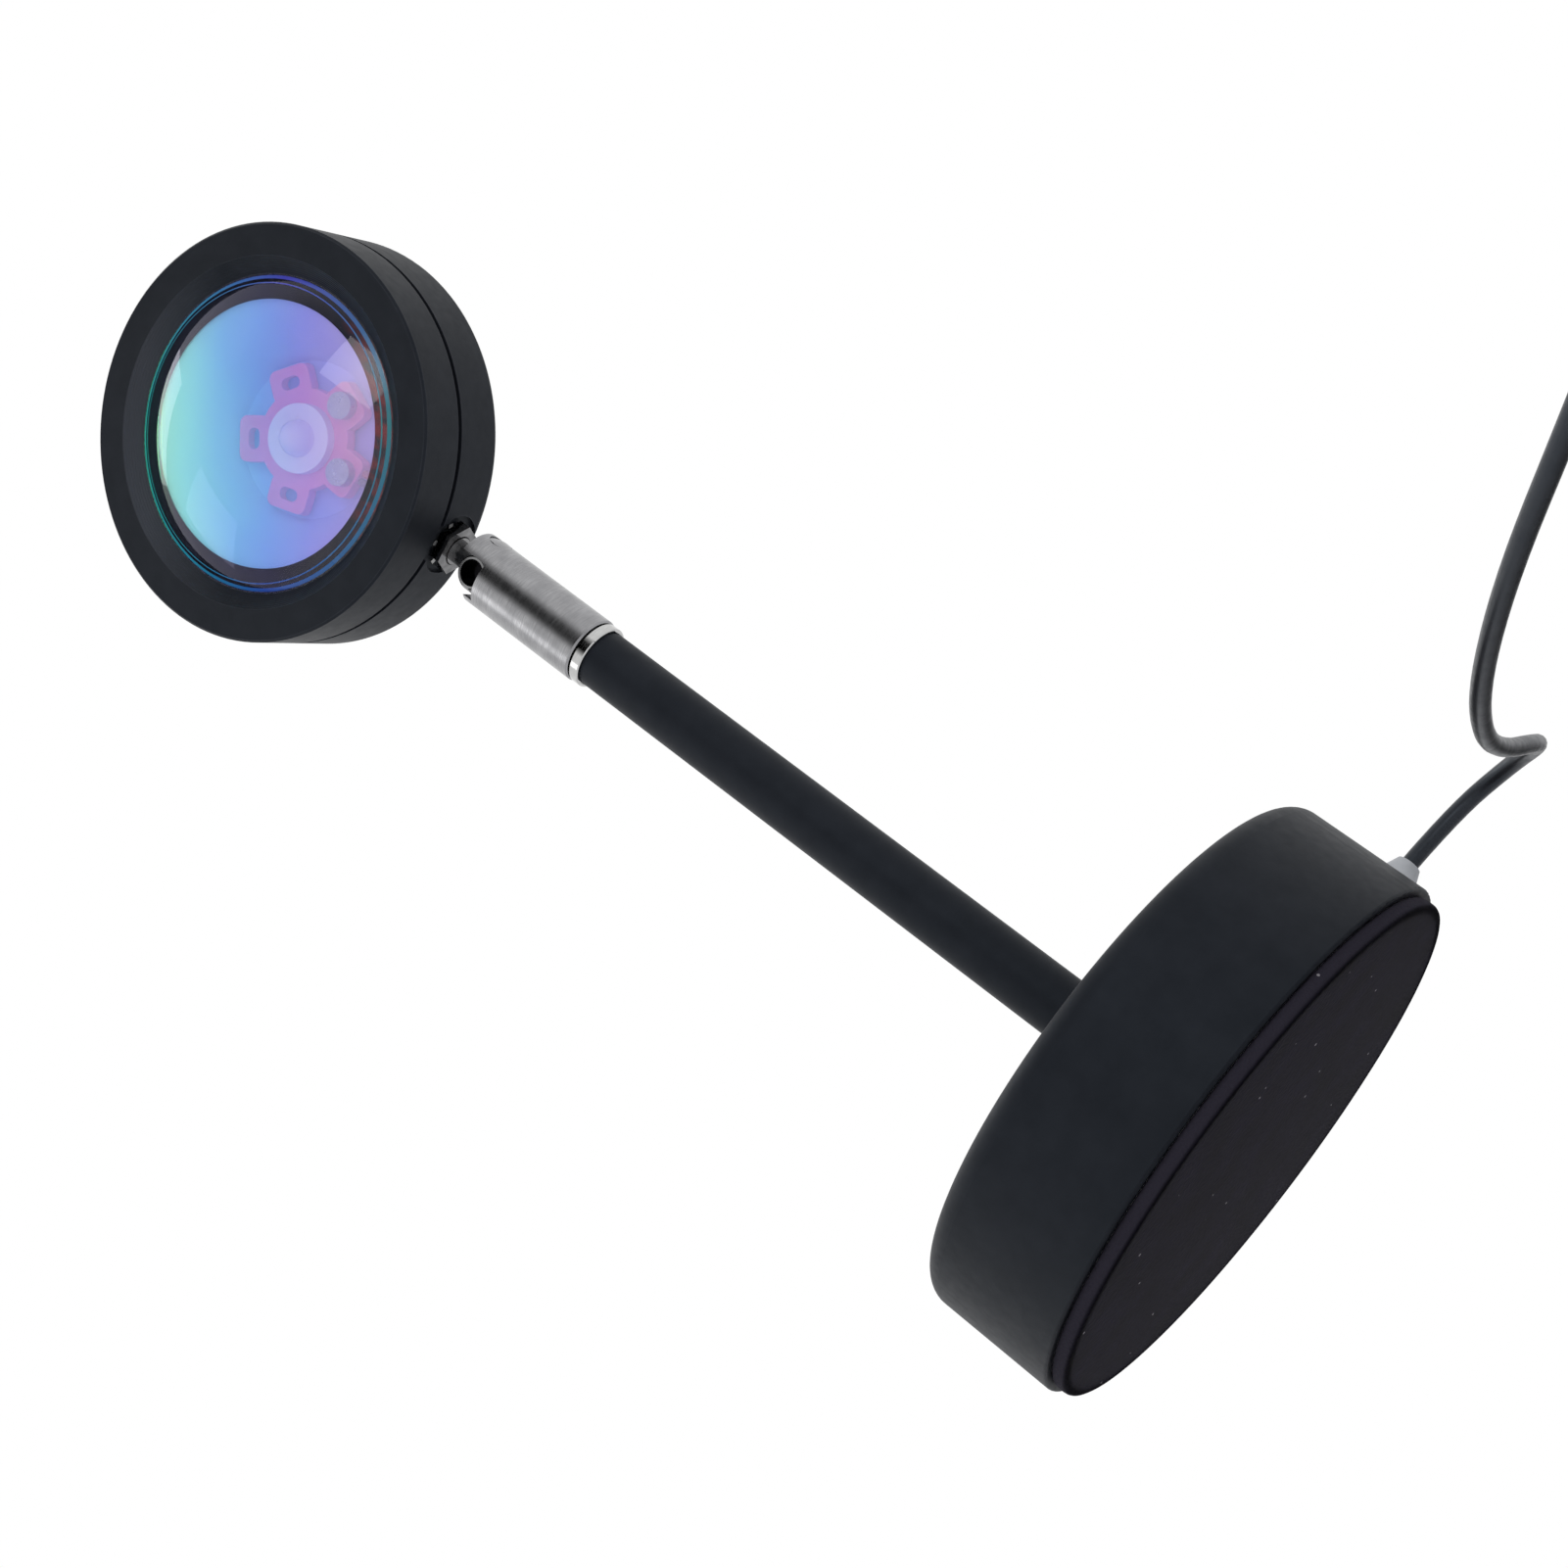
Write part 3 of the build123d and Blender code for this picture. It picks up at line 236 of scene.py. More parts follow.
# Painted highlight: a lighter colour laid on the left side of the bezel's sloped edge
SLOPE_PAINTED_HIGHLIGHT = (0.034, 0.036, 0.043)
BLACK_GRAIN = 0.35
BLACK_DEPTH = 0.02
BLACK_GLOSS = 0.17
BLACK_ROUGH = (0.48, 0.54)
BEZEL_ROUGH = (0.46, 0.52)
SLOPE_R = 29.8
SLOPE_BLUR = 0.05
# Where the slope's painted highlight fades out, across the lens's face
SLOPE_HIGHLIGHT_SIDE = (-25.0, -8.0)
RING_PITCH = 0.35
RING_RELIEF = 0.6

# Bare metal: cloudy patches, drawn lines and relief
CLOUD_GRAIN = 3.0
LINE_SHARE = 0.6
METAL_RELIEF = 0.5
# The knuckle's port hole, and the black painted shade laid inside it
PORT_AT = (-0.3, 160.0)
PORT_R = 2.32
PORT_FACE_Y = -3.9
PORT_PAINTED_SHADE = (0.006, 0.006, 0.007)

# Foam
FOAM_DARK = (0.0035, 0.003, 0.0055)
FOAM_LIGHT = (0.0088, 0.0074, 0.0185)
# Painted light: the lighter colour laid on the pad's side wall
FOAM_SIDE_PAINTED_LIGHT = (0.024, 0.022, 0.032)
FOAM_DUST = (0.22, 0.21, 0.23)
FOAM_CLOUD = 9.0
FOAM_CLOUD_SPAN = (0.3, 0.72)
# Heights over which the side wall's painted light comes in
FOAM_PAINTED_LIGHT_RISE = (0.1, 0.5)
FOAM_ROUGH = 0.92
FOAM_GLOSS = 0.06
FOAM_RELIEF = 0.7
PORE_SIZE = 0.55
PORE_DEPTH = 0.15
PORE_SPAN = (0.1, 0.6)
PORE_SHARE = 0.55
DUST_APART = 5.0
DUST_SIZE = 0.045


def add_object(name, data, body):
    """A new piece in the scene that rides on a body."""
    piece = bpy.data.objects.new(name, data)
    bpy.context.scene.collection.objects.link(piece)
    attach(piece, body)
    return piece


def circle(steps):
    """Angles evenly round a circle."""
    return [2 * math.pi * step / steps for step in range(steps)]


def join_rings(shape, rings):
    """Faces between closed rings that have the same number of points."""
    for first, second in zip(rings, rings[1:]):
        for step in range(len(first)):
            after = (step + 1) % len(first)
            shape.faces.new((first[step], first[after], second[after], second[step]))


def finish_mesh(shape, name):
    """A shape's points and faces as a mesh."""
    data = bpy.data.meshes.new(name)
    shape.to_mesh(data)
    shape.free()
    return data


def make_camera():
    """The photo's camera: place, turn and focal length."""
    data = bpy.data.cameras.new("photo_camera")
    data.sensor_width = SENSOR_MM
    data.lens = SENSOR_MM * FOCAL_PX / PHOTO_PX
    data.clip_start = CAMERA_NEAR
    camera = bpy.data.objects.new("photo_camera", data)
    right = Vector(CAMERA_RIGHT).normalized()
    up = Vector(CAMERA_UP)
    up = (up - right * up.dot(right)).normalized()
    back = right.cross(up)
    turn = Matrix((right, up, back)).transposed()
    camera.matrix_world = Matrix.Translation(Vector(CAMERA_AT) * MM) @ turn.to_4x4()
    bpy.context.scene.collection.objects.link(camera)
    bpy.context.scene.camera = camera


def coil_points():
    """The coil's turns: half turns that spiral in and out, climbing where the spiral turns back."""
    stations = []
    for layer in range(COIL_LAYERS):
        for half in range(2 * COIL_TURNS + 1):
            inward = half if layer % 2 == 0 else 2 * COIL_TURNS - half
            stations.append((COIL_OUT_R - inward * COIL_PITCH / 2, COIL_Z + layer * COIL_STEP))
    step = math.pi / POINTS_PER_HALF_TURN
    swell = 1 / (CURVE_OWN + CURVE_BESIDE * math.cos(step))
    points = []
    for index in range(len(stations) - 1):
        (r_from, z_from), (r_to, z_to) = stations[index], stations[index + 1]
        side = -1 if index % 2 == 0 else 1
        middle_y = COIL_Y + side * (r_from - r_to) / 2
        radius = (r_from + r_to) / 2
        for part in range(POINTS_PER_HALF_TURN):
            angle = side * math.pi / 2 + part * step
            rise = (1 - math.cos(part * step)) / 2
            x = COIL_X + radius * swell * math.cos(angle)
            y = middle_y + radius * swell * math.sin(angle)
            points.append((x, y, z_from + (z_to - z_from) * rise))
    end_r, end_z = stations[-1]
    points.append((COIL_X, COIL_Y + end_r * swell, end_z))
    return points


def lead_route():
    """Every point of the lead, in millimetres, from the bush to the plug."""
    coil = coil_points()
    start = (EXIT_R * math.cos(EXIT_ANGLE), EXIT_R * math.sin(EXIT_ANGLE), EXIT_Z)
    table = [
        (52.0, 30.1, EXIT_Z - 0.3),
        (62.5, 29.0, FLOOR_Z + 4.7),
        (69.0, 20.0, FLOOR_Z + 1.2),
        (70.0, 6.5, FLOOR_Z),
        (69.5, -9.0, FLOOR_Z),
        (72.0, -26.0, FLOOR_Z),
        (80.0, -46.0, FLOOR_Z),
        (94.5, -66.0, FLOOR_Z),
        (114.0, -82.0, FLOOR_Z),
        (131.0, SWITCH_Y + 0.4, FLOOR_Z + 1.2),
    ]
    through_switch = [
        (SWITCH_ENDS[0], SWITCH_Y, SWITCH_Z),
        (sum(SWITCH_ENDS) / 2, SWITCH_Y, SWITCH_Z),
        (SWITCH_ENDS[1], SWITCH_Y, SWITCH_Z),
        (SWITCH_ENDS[1] + STRAIGHT_RUN, SWITCH_Y, SWITCH_Z),
    ]
    into_coil = [
        (COIL_X - CORD_D - STRAIGHT_RUN, SWITCH_Y, COIL_Z),
        (COIL_X - CORD_D, SWITCH_Y, COIL_Z),
    ]
    end = coil[-1]
    to_plug = [
        (COIL_X - CORD_D, end[1], end[2]),
        (COIL_X - CORD_D - STRAIGHT_RUN, end[1], end[2]),
        (PLUG_X + STRAIGHT_RUN, end[1], PLUG_Z),
        (PLUG_X, end[1], PLUG_Z),
    ]
    return [start] + table + through_switch + into_coil + coil + to_plug


def make_lead():
    """The lead as one smooth round cord; its points carry its radius, so that the curve's box fits it."""
    data = bpy.data.curves.new("lead_cord", "CURVE")
    data.dimensions = "3D"
    data.resolution_u = LEAD_SMOOTH
    data.bevel_depth = 1.0
    data.bevel_resolution = LEAD_ROUND
    data.use_fill_caps = True
    route = lead_route()
    spline = data.splines.new("NURBS")
    spline.points.add(len(route) - 1)
    for point, place in zip(spline.points, route):
        point.co = (*(Vector(place) * MM), 1.0)
        point.radius = CORD_D / 2 * MM
    spline.order_u = LEAD_ORDER
    spline.use_endpoint_u = True
    lead = add_object("lead_cord", data, "stand")
    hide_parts("lead_to_switch", "lead_to_coil", "lead_coil", "lead_to_plug")
    on_lead = ["lead_tie", "switch_lower", "switch_upper", "switch_button", "switch_board"]
    on_lead += ["plug_body", "plug_shell", "plug_tongue", "plug_contacts"]


def make_pad():
    """The foam pad: a soft-edged disc whose cut edge is a little uneven."""
    shape = bmesh.new()
    rings = []
    for inset, height in PAD_PROFILE:
        ring = []
        for angle in circle(PAD_STEPS):
            wave = math.sin(PAD_WAVES[0] * angle) * math.sin(PAD_WAVES[1] * angle + PAD_WAVE_SHIFT)
            radius = (PAD_R - inset - PAD_UNEVEN * (1 + wave) / 2) * MM
            place = (radius * math.cos(angle), radius * math.sin(angle), height * MM)
            ring.append(shape.verts.new(place))
        rings.append(ring)
    join_rings(shape, rings)
    shape.faces.new(list(reversed(rings[0])))
    shape.faces.new(rings[-1])
    data = finish_mesh(shape, "soft_pad")
    data.shade_smooth()
    pad = add_object("soft_pad", data, "stand")
    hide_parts("foam_pad")


def make_world():
    """Plain white all round."""
    world = bpy.data.worlds.new("plain_world")
    bpy.context.scene.world = world
    world.use_nodes = True
    background = world.node_tree.nodes["Background"]
    background.inputs["Color"].default_value = (1, 1, 1, 1)
    background.inputs["Strength"].default_value = 1.0


def flag_point(turn, rise):
    """A point on the flag, from its middle, by its direction."""
    level = FLAG_R * math.cos(rise)
    return (level * math.cos(turn), level * math.sin(turn), FLAG_R * math.sin(rise))


def flag_material():
    """Black, and clear towards the flag's edges."""
    material, tree, shader = new_material("flag_dark")
    shader.inputs["Base Color"].default_value = (0, 0, 0, 1)
    shader.inputs["Specular IOR Level"].default_value = 0.0
    level = vector_node(tree, "MULTIPLY", places(tree), (1, 1, 0))
    heading = vector_node(tree, "NORMALIZE", level.outputs["Vector"])
    towards = vector_node(tree, "DOT_PRODUCT", heading.outputs["Vector"], Vector(FRONT_SIDE).normalized())
    rise = math_node(tree, "DIVIDE", place_mm(tree)["Z"], FLAG_R / MM)
    across = map_range(tree, towards.outputs["Value"], *FLAG_SIDES, 0.0, 1.0)
    foot = map_range(tree, rise, *FLAG_FOOT, 0.0, 1.0)
    head = map_range(tree, rise, *FLAG_HEAD, 1.0, 0.0)
    dark = math_node(tree, "MULTIPLY", across, math_node(tree, "MULTIPLY", foot, head))
    let_through(tree, shader, math_node(tree, "SUBTRACT", 1.0, dark))
    return material


def make_flag():
    """A studio flag: a dark screen on the photograph's side, which only mirror-like surfaces see."""
    shape = bmesh.new()
    middle = math.atan2(FRONT_SIDE[1], FRONT_SIDE[0])
    turns = [middle + FLAG_HALF * (2 * step / FLAG_STEPS - 1) for step in range(FLAG_STEPS + 1)]
    rows = []
    for row in range(FLAG_ROWS + 1):
        rise = FLAG_LOW + (FLAG_HIGH - FLAG_LOW) * row / FLAG_ROWS
        rows.append([shape.verts.new(flag_point(turn, rise)) for turn in turns])
    for low, high in zip(rows, rows[1:]):
        for step in range(FLAG_STEPS):
            shape.faces.new((low[step], low[step + 1], high[step + 1], high[step]))
    data = finish_mesh(shape, "dark_flag")
    data.materials.append(flag_material())
    flag = bpy.data.objects.new("dark_flag", data)
    flag.location = (0, 0, FLAG_Z)
    flag.visible_camera = False
    flag.visible_transmission = False
    flag.visible_diffuse = False
    flag.visible_shadow = False
    bpy.context.scene.collection.objects.link(flag)


def floor_material():
    """Pale and dull from above, and clear from below."""
    material, tree, shader = new_material("floor_pale")
    shader.inputs["Base Color"].default_value = (*FLOOR_COLOUR, 1)
    shader.inputs["Roughness"].default_value = FLOOR_ROUGH
    side = tree.nodes.new("ShaderNodeNewGeometry")
    let_through(tree, shader, side.outputs["Backfacing"])
    return material


def make_floor():
    """A pale floor, with an opening under the pad; the photo's camera looks up through it."""
    shape = bmesh.new()
    rings = []
    for radius in (FLOOR_OUT, FLOOR_HOLE):
        ring = []
        for angle in circle(FLOOR_STEPS):
            place = (radius * math.cos(angle), radius * math.sin(angle), FLOOR_AT)
            ring.append(shape.verts.new(place))
        rings.append(ring)
    join_rings(shape, rings)
    data = finish_mesh(shape, "pale_floor")
    data.materials.append(floor_material())
    floor = bpy.data.objects.new("pale_floor", data)
    bpy.context.scene.collection.objects.link(floor)


def make_light(name, place, target, size, power):
    """A soft box, in millimetres, that looks at a target."""
    data = bpy.data.lights.new(name, "AREA")
    data.shape = "RECTANGLE"
    data.size = size[0] * MM
    data.size_y = size[1] * MM
    data.energy = power
    data.spread = BOX_SPREAD
    light = bpy.data.objects.new(name, data)
    aim = (Vector(target) - Vector(place)).to_track_quat("-Z", "Y")
    light.matrix_world = Matrix.Translation(Vector(place) * MM) @ aim.to_matrix().to_4x4()
    bpy.context.scene.collection.objects.link(light)


def new_material(name):
    """A fresh material, its node tree and its main shader."""
    material = bpy.data.materials.new(name)
    material.use_nodes = True
    tree = material.node_tree
    return material, tree, tree.nodes["Principled BSDF"]


def light_path(tree, ray):
    """One output of the light path."""
    return tree.nodes.new("ShaderNodeLightPath").outputs[ray]


def math_node(tree, operation, first, second=0.0):
    """A sum, product or the like of two values, each a socket or a number."""
    node = tree.nodes.new("ShaderNodeMath")
    node.operation = operation
    for socket, value in zip(node.inputs, (first, second)):
        if isinstance(value, (int, float)):
            socket.default_value = value
        else:
            tree.links.new(value, socket)
    return node.outputs["Value"]


def vector_node(tree, operation, first, second=None):
    """A vector worked out from one or two others; the second is a socket or plain numbers."""
    node = tree.nodes.new("ShaderNodeVectorMath")
    node.operation = operation
    tree.links.new(first, node.inputs[0])
    if isinstance(second, (tuple, Vector)):
        node.inputs[1].default_value = second
    elif second is not None:
        tree.links.new(second, node.inputs[1])
    return node


def map_range(tree, value, from_low, from_high, to_low, to_high):
    """A value carried over from one range to another."""
    node = tree.nodes.new("ShaderNodeMapRange")
    node.inputs["From Min"].default_value = from_low
    node.inputs["From Max"].default_value = from_high
    node.inputs["To Min"].default_value = to_low
    node.inputs["To Max"].default_value = to_high
    tree.links.new(value, node.inputs["Value"])
    return node.outputs["Result"]


def places(tree, stretch=(1, 1, 1), shift=(0, 0, 0)):
    """Places on the object, in metres, stretched and shifted."""
    coords = tree.nodes.new("ShaderNodeTexCoord")
    mapping = tree.nodes.new("ShaderNodeMapping")
    mapping.inputs["Scale"].default_value = stretch
    mapping.inputs["Location"].default_value = shift
    tree.links.new(coords.outputs["Object"], mapping.inputs["Vector"])
    return mapping.outputs["Vector"]


def place_mm(tree, shift=(0, 0, 0)):
    """Places on the object, in millimetres, as X, Y and Z."""
    split = tree.nodes.new("ShaderNodeSeparateXYZ")
    tree.links.new(places(tree, (1 / MM, 1 / MM, 1 / MM), shift), split.inputs["Vector"])
    return split.outputs


def noise(tree, grain_mm, detail=3.0, stretch=(1, 1, 1)):
    """Soft noise with spots of about that size."""
    node = tree.nodes.new("ShaderNodeTexNoise")
    node.inputs["Scale"].default_value = 1 / (grain_mm * MM)
    node.inputs["Detail"].default_value = detail
    tree.links.new(places(tree, stretch), node.inputs["Vector"])
    return node.outputs["Fac"]


def vary(tree, value, low, high):
    """A noise carried over to a range."""
    return map_range(tree, value, *NOISE_SPAN, low, high)


def cells(tree, size_mm):
    """Distance to the nearest of scattered points."""
    node = tree.nodes.new("ShaderNodeTexVoronoi")
    node.inputs["Scale"].default_value = 1 / (size_mm * MM)
    tree.links.new(places(tree), node.inputs["Vector"])
    return node.outputs["Distance"]


def colour_ramp(tree, value, stops):
    """A colour from a value: stops are (place, colour)."""
    node = tree.nodes.new("ShaderNodeValToRGB")
    ramp = node.color_ramp
    while len(ramp.elements) < len(stops):
        ramp.elements.new(0.5)
    for element, (place, colour) in zip(ramp.elements, stops):
        element.position = place
        element.color = (*colour, 1)
    tree.links.new(value, node.inputs["Fac"])
    return node.outputs["Color"]


def mix_colour(tree, factor, first, second):
    """Two colours mixed by a factor; each is a socket or a plain colour."""
    node = tree.nodes.new("ShaderNodeMix")
    node.data_type = "RGBA"
    tree.links.new(factor, node.inputs[0])
    for number, value in zip(MIX_COLOURS, (first, second)):
        if isinstance(value, tuple):
            node.inputs[number].default_value = (*value, 1)
        else:
            tree.links.new(value, node.inputs[number])
    return node.outputs[MIX_COLOUR_OUT]


def paint_over(material, share, colour):
    """Lays another colour over a material's own, by a share."""
    tree = material.node_tree
    base = tree.nodes["Principled BSDF"].inputs["Base Color"]
    own = base.links[0].from_socket
    tree.links.new(mix_colour(tree, share, own, colour), base)


def let_through(tree, shader, share):
    """Makes a surface clear by a share: not at all at 0, and wholly at 1."""
    clear = tree.nodes.new("ShaderNodeBsdfTransparent")
    mix = tree.nodes.new("ShaderNodeMixShader")
    tree.links.new(share, mix.inputs["Fac"])
    tree.links.new(shader.outputs["BSDF"], mix.inputs[1])
    tree.links.new(clear.outputs["BSDF"], mix.inputs[2])
    tree.links.new(mix.outputs["Shader"], tree.nodes["Material Output"].inputs["Surface"])


def bump(tree, shader, height, depth_mm, strength):
    """Raised and sunk places on a surface."""
    node = tree.nodes.new("ShaderNodeBump")
    node.inputs["Strength"].default_value = strength
    node.inputs["Distance"].default_value = depth_mm * MM
    tree.links.new(height, node.inputs["Height"])
    tree.links.new(node.outputs["Normal"], shader.inputs["Normal"])


def edges(tree, reach_mm):
    """One at sharp edges, none on flat and gently curved ground."""
    bevel = tree.nodes.new("ShaderNodeBevel")
    bevel.samples = EDGE_SAMPLES
    bevel.inputs["Radius"].default_value = reach_mm * MM
    geometry = tree.nodes.new("ShaderNodeNewGeometry")
    bend = vector_node(tree, "DOT_PRODUCT", bevel.outputs["Normal"], geometry.outputs["Normal"])
    return map_range(tree, bend.outputs["Value"], *EDGE_BENDS, 0.0, 1.0)


def coated(name, dark, light, grain_mm, depth_mm, rough, gloss, wear):
    """A coated or moulded surface: mottled colour, uneven sheen, fine grain and worn edges."""
    material, tree, shader = new_material(name)
    mottle = noise(tree, grain_mm * MOTTLE_GRAINS, detail=5.0)
    grain = noise(tree, grain_mm, detail=2.0)
    ground = colour_ramp(tree, mottle, list(zip(NOISE_SPAN, (dark, light))))
    patches = map_range(tree, noise(tree, WEAR_GRAIN), *WEAR_SPAN, WEAR_LEAST, 1.0)
    worn = math_node(tree, "MULTIPLY", edges(tree, EDGE_REACH), patches)
    tree.links.new(mix_colour(tree, worn, ground, wear), shader.inputs["Base Color"])
    sheen = vary(tree, noise(tree, grain_mm * SHEEN_GRAINS), *rough)
    tree.links.new(sheen, shader.inputs["Roughness"])
    shader.inputs["Specular IOR Level"].default_value = gloss
    shader.inputs["Specular Tint"].default_value = COOL_TINT
    bump(tree, shader, grain, depth_mm, COAT_RELIEF)
    return material


def simple(name, dark, light, rough, gloss=0.5):
    """A plain moulded or printed surface with slight mottling and grain."""
    return coated(name, dark, light, SIMPLE_GRAIN, SIMPLE_DEPTH, rough, gloss, light)


def black_coat(name, rough):
    """The lamp's black powder coating."""
    look = (BLACK_DARK, BLACK_LIGHT, BLACK_GRAIN, BLACK_DEPTH)
    return coated(name, *look, rough, BLACK_GLOSS, BLACK_WORN)


def metal(name, dark, light, rough, grain_mm, depth_mm, stretch=(1, 1, 1), aniso=0.0):
    """Bare metal with fine drawn or turned lines and cloudy patches."""
    material, tree, shader = new_material(name)
    lines = noise(tree, grain_mm, stretch=stretch)
    clouds = noise(tree, CLOUD_GRAIN, detail=4.0)
    tone = mix_colour(tree, clouds, dark, light)
    tone = mix_colour(tree, vary(tree, lines, 0.0, LINE_SHARE), tone, dark)
    tree.links.new(tone, shader.inputs["Base Color"])
    shader.inputs["Metallic"].default_value = 1.0
    shader.inputs["Anisotropic"].default_value = aniso
    tree.links.new(vary(tree, lines, *rough), shader.inputs["Roughness"])
    bump(tree, shader, lines, depth_mm, METAL_RELIEF)
    return material


def foam_material():
    """Dark foam: fine open pores, cloudy tone, a few pale specks of dust, and painted light on its side
    wall.
    """
    material, tree, shader = new_material("foam")
    pores = cells(tree, PORE_SIZE)
    clouds = noise(tree, FOAM_CLOUD, detail=5.0)
    ground = colour_ramp(tree, clouds, list(zip(FOAM_CLOUD_SPAN, (FOAM_DARK, FOAM_LIGHT))))
    ground = mix_colour(tree, map_range(tree, pores, *PORE_SPAN, 0.0, PORE_SHARE), FOAM_DARK, ground)
    # Painted light: the pad's side wall is made lighter
    side = map_range(tree, place_mm(tree)["Z"], *FOAM_PAINTED_LIGHT_RISE, 0.0, 1.0)
    ground = mix_colour(tree, side, ground, FOAM_SIDE_PAINTED_LIGHT)
    dust = math_node(tree, "LESS_THAN", cells(tree, DUST_APART), DUST_SIZE)
    tree.links.new(mix_colour(tree, dust, ground, FOAM_DUST), shader.inputs["Base Color"])
    shader.inputs["Roughness"].default_value = FOAM_ROUGH
    shader.inputs["Specular IOR Level"].default_value = FOAM_GLOSS
    bump(tree, shader, pores, PORE_DEPTH, FOAM_RELIEF)
    return material


def face_place(tree, right, up):
    """A place on the lens's face along a direction, from the head's middle, in millimetres."""
    place = place_mm(tree, (0, 0, -HEAD_Z))
    across = math_node(tree, "MULTIPLY", place["X"], right)
    upward = math_node(tree, "MULTIPLY", place["Z"], up)
    return math_node(tree, "ADD", across, upward)


def square_sum(tree, first, second):
    """The sum of two squares."""
    first_square = math_node(tree, "POWER", first, 2.0)
    second_square = math_node(tree, "POWER", second, 2.0)
    return math_node(tree, "ADD", first_square, second_square)


def head_radius(tree):
    """Distance from the head's axis, in millimetres."""
    x = face_place(tree, 1.0, 0.0)
    z = face_place(tree, 0.0, 1.0)
    return math_node(tree, "POWER", square_sum(tree, x, z), 0.5)


def film_colours(tree):
    """The coating's colours: mint at one side, through blue, to violet and lilac at the other."""
    across = face_place(tree, *FACE_RIGHT)
    upward = face_place(tree, *FACE_UP)
    lean = math_node(tree, "ADD", across, math_node(tree, "MULTIPLY", upward, FILM_LEAN))
    wave = noise(tree, FILM_WAVE_GRAIN, detail=2.0)
    wave = vary(tree, wave, FILM_SHIFT - FILM_WAVE, FILM_SHIFT + FILM_WAVE)
    lean = math_node(tree, "ADD", lean, wave)
    return colour_ramp(tree, map_range(tree, lean, -FILM_HALF, FILM_HALF, 0.0, 1.0), FILM_STOPS)


def film_material():
    """The coated filter: a coloured film that also lets some of what is behind it through."""
    material, tree, shader = new_material("film")
    specks = math_node(tree, "LESS_THAN", cells(tree, SPECK_APART), SPECK_SIZE)
    tree.links.new(mix_colour(tree, specks, film_colours(tree), FILM_SPECK), shader.inputs["Base Color"])
    tree.links.new(vary(tree, noise(tree, FILM_GRAIN), *FILM_ROUGH), shader.inputs["Roughness"])
    shader.inputs["Specular IOR Level"].default_value = FILM_GLOSS
    shader.inputs["Alpha"].default_value = FILM_COVER
    return material


def dome_normal(tree):
    """The direction of the lens's true round dome, and the mesh's own direction elsewhere on it."""
    outward = places(tree, (1, 1, 1), (0, -DOME_MIDDLE_Y * MM, -HEAD_Z * MM))
    turned = tree.nodes.new("ShaderNodeVectorTransform")
    turned.vector_type = "NORMAL"
    turned.convert_from = "OBJECT"
    turned.convert_to = "WORLD"
    tree.links.new(outward, turned.inputs["Vector"])
    geometry = tree.nodes.new("ShaderNodeNewGeometry")
    facing = vector_node(tree, "SCALE", turned.outputs["Vector"])
    inside_out = map_range(tree, geometry.outputs["Backfacing"], 0.0, 1.0, 1.0, -1.0)
    tree.links.new(inside_out, facing.inputs["Scale"])
    mix = tree.nodes.new("ShaderNodeMix")
    mix.data_type = "VECTOR"
    on_dome = math_node(tree, "LESS_THAN", place_mm(tree)["Y"], DOME_EDGE_Y)
    tree.links.new(on_dome, mix.inputs[0])
    tree.links.new(geometry.outputs["Normal"], mix.inputs[MIX_VECTORS[0]])
    tree.links.new(facing.outputs["Vector"], mix.inputs[MIX_VECTORS[1]])
    return vector_node(tree, "NORMALIZE", mix.outputs[MIX_VECTOR_OUT]).outputs["Vector"]


def lens_material():
    """Clear coated glass; its back bends light less, and it doesn't bend shadow and diffuse rays."""
    material, tree, shader = new_material("lens_clear")
    shader.inputs["Base Color"].default_value = (*LENS_BODY, 1)
    shader.inputs["Transmission Weight"].default_value = 1.0
    front = math_node(tree, "LESS_THAN", place_mm(tree)["Y"], LENS_BACK_Y)
    tree.links.new(map_range(tree, front, 0.0, 1.0, LENS_BACK_BEND, LENS_BEND), shader.inputs["IOR"])
    tree.links.new(vary(tree, noise(tree, LENS_GRAIN), *LENS_ROUGH), shader.inputs["Roughness"])
    across = face_place(tree, *FACE_RIGHT)
    film = map_range(tree, across, *LENS_FILM_EDGE, LENS_FILM_NM, 0.0)
    tree.links.new(film, shader.inputs["Thin Film Thickness"])
    shader.inputs["Thin Film IOR"].default_value = LENS_FILM_BEND
    tint = mix_colour(tree, map_range(tree, across, *WHITE_EDGE, 0.0, 1.0), LENS_PURPLE, LENS_WHITE)
    tint = mix_colour(tree, map_range(tree, across, *MINT_EDGE, 1.0, 0.0), tint, LENS_MINT)
    tree.links.new(tint, shader.inputs["Specular Tint"])
    tree.links.new(dome_normal(tree), shader.inputs["Normal"])
    shadow = light_path(tree, "Is Shadow Ray")
    diffuse = light_path(tree, "Is Diffuse Ray")
    let_through(tree, shader, math_node(tree, "MAXIMUM", shadow, diffuse))
    return material


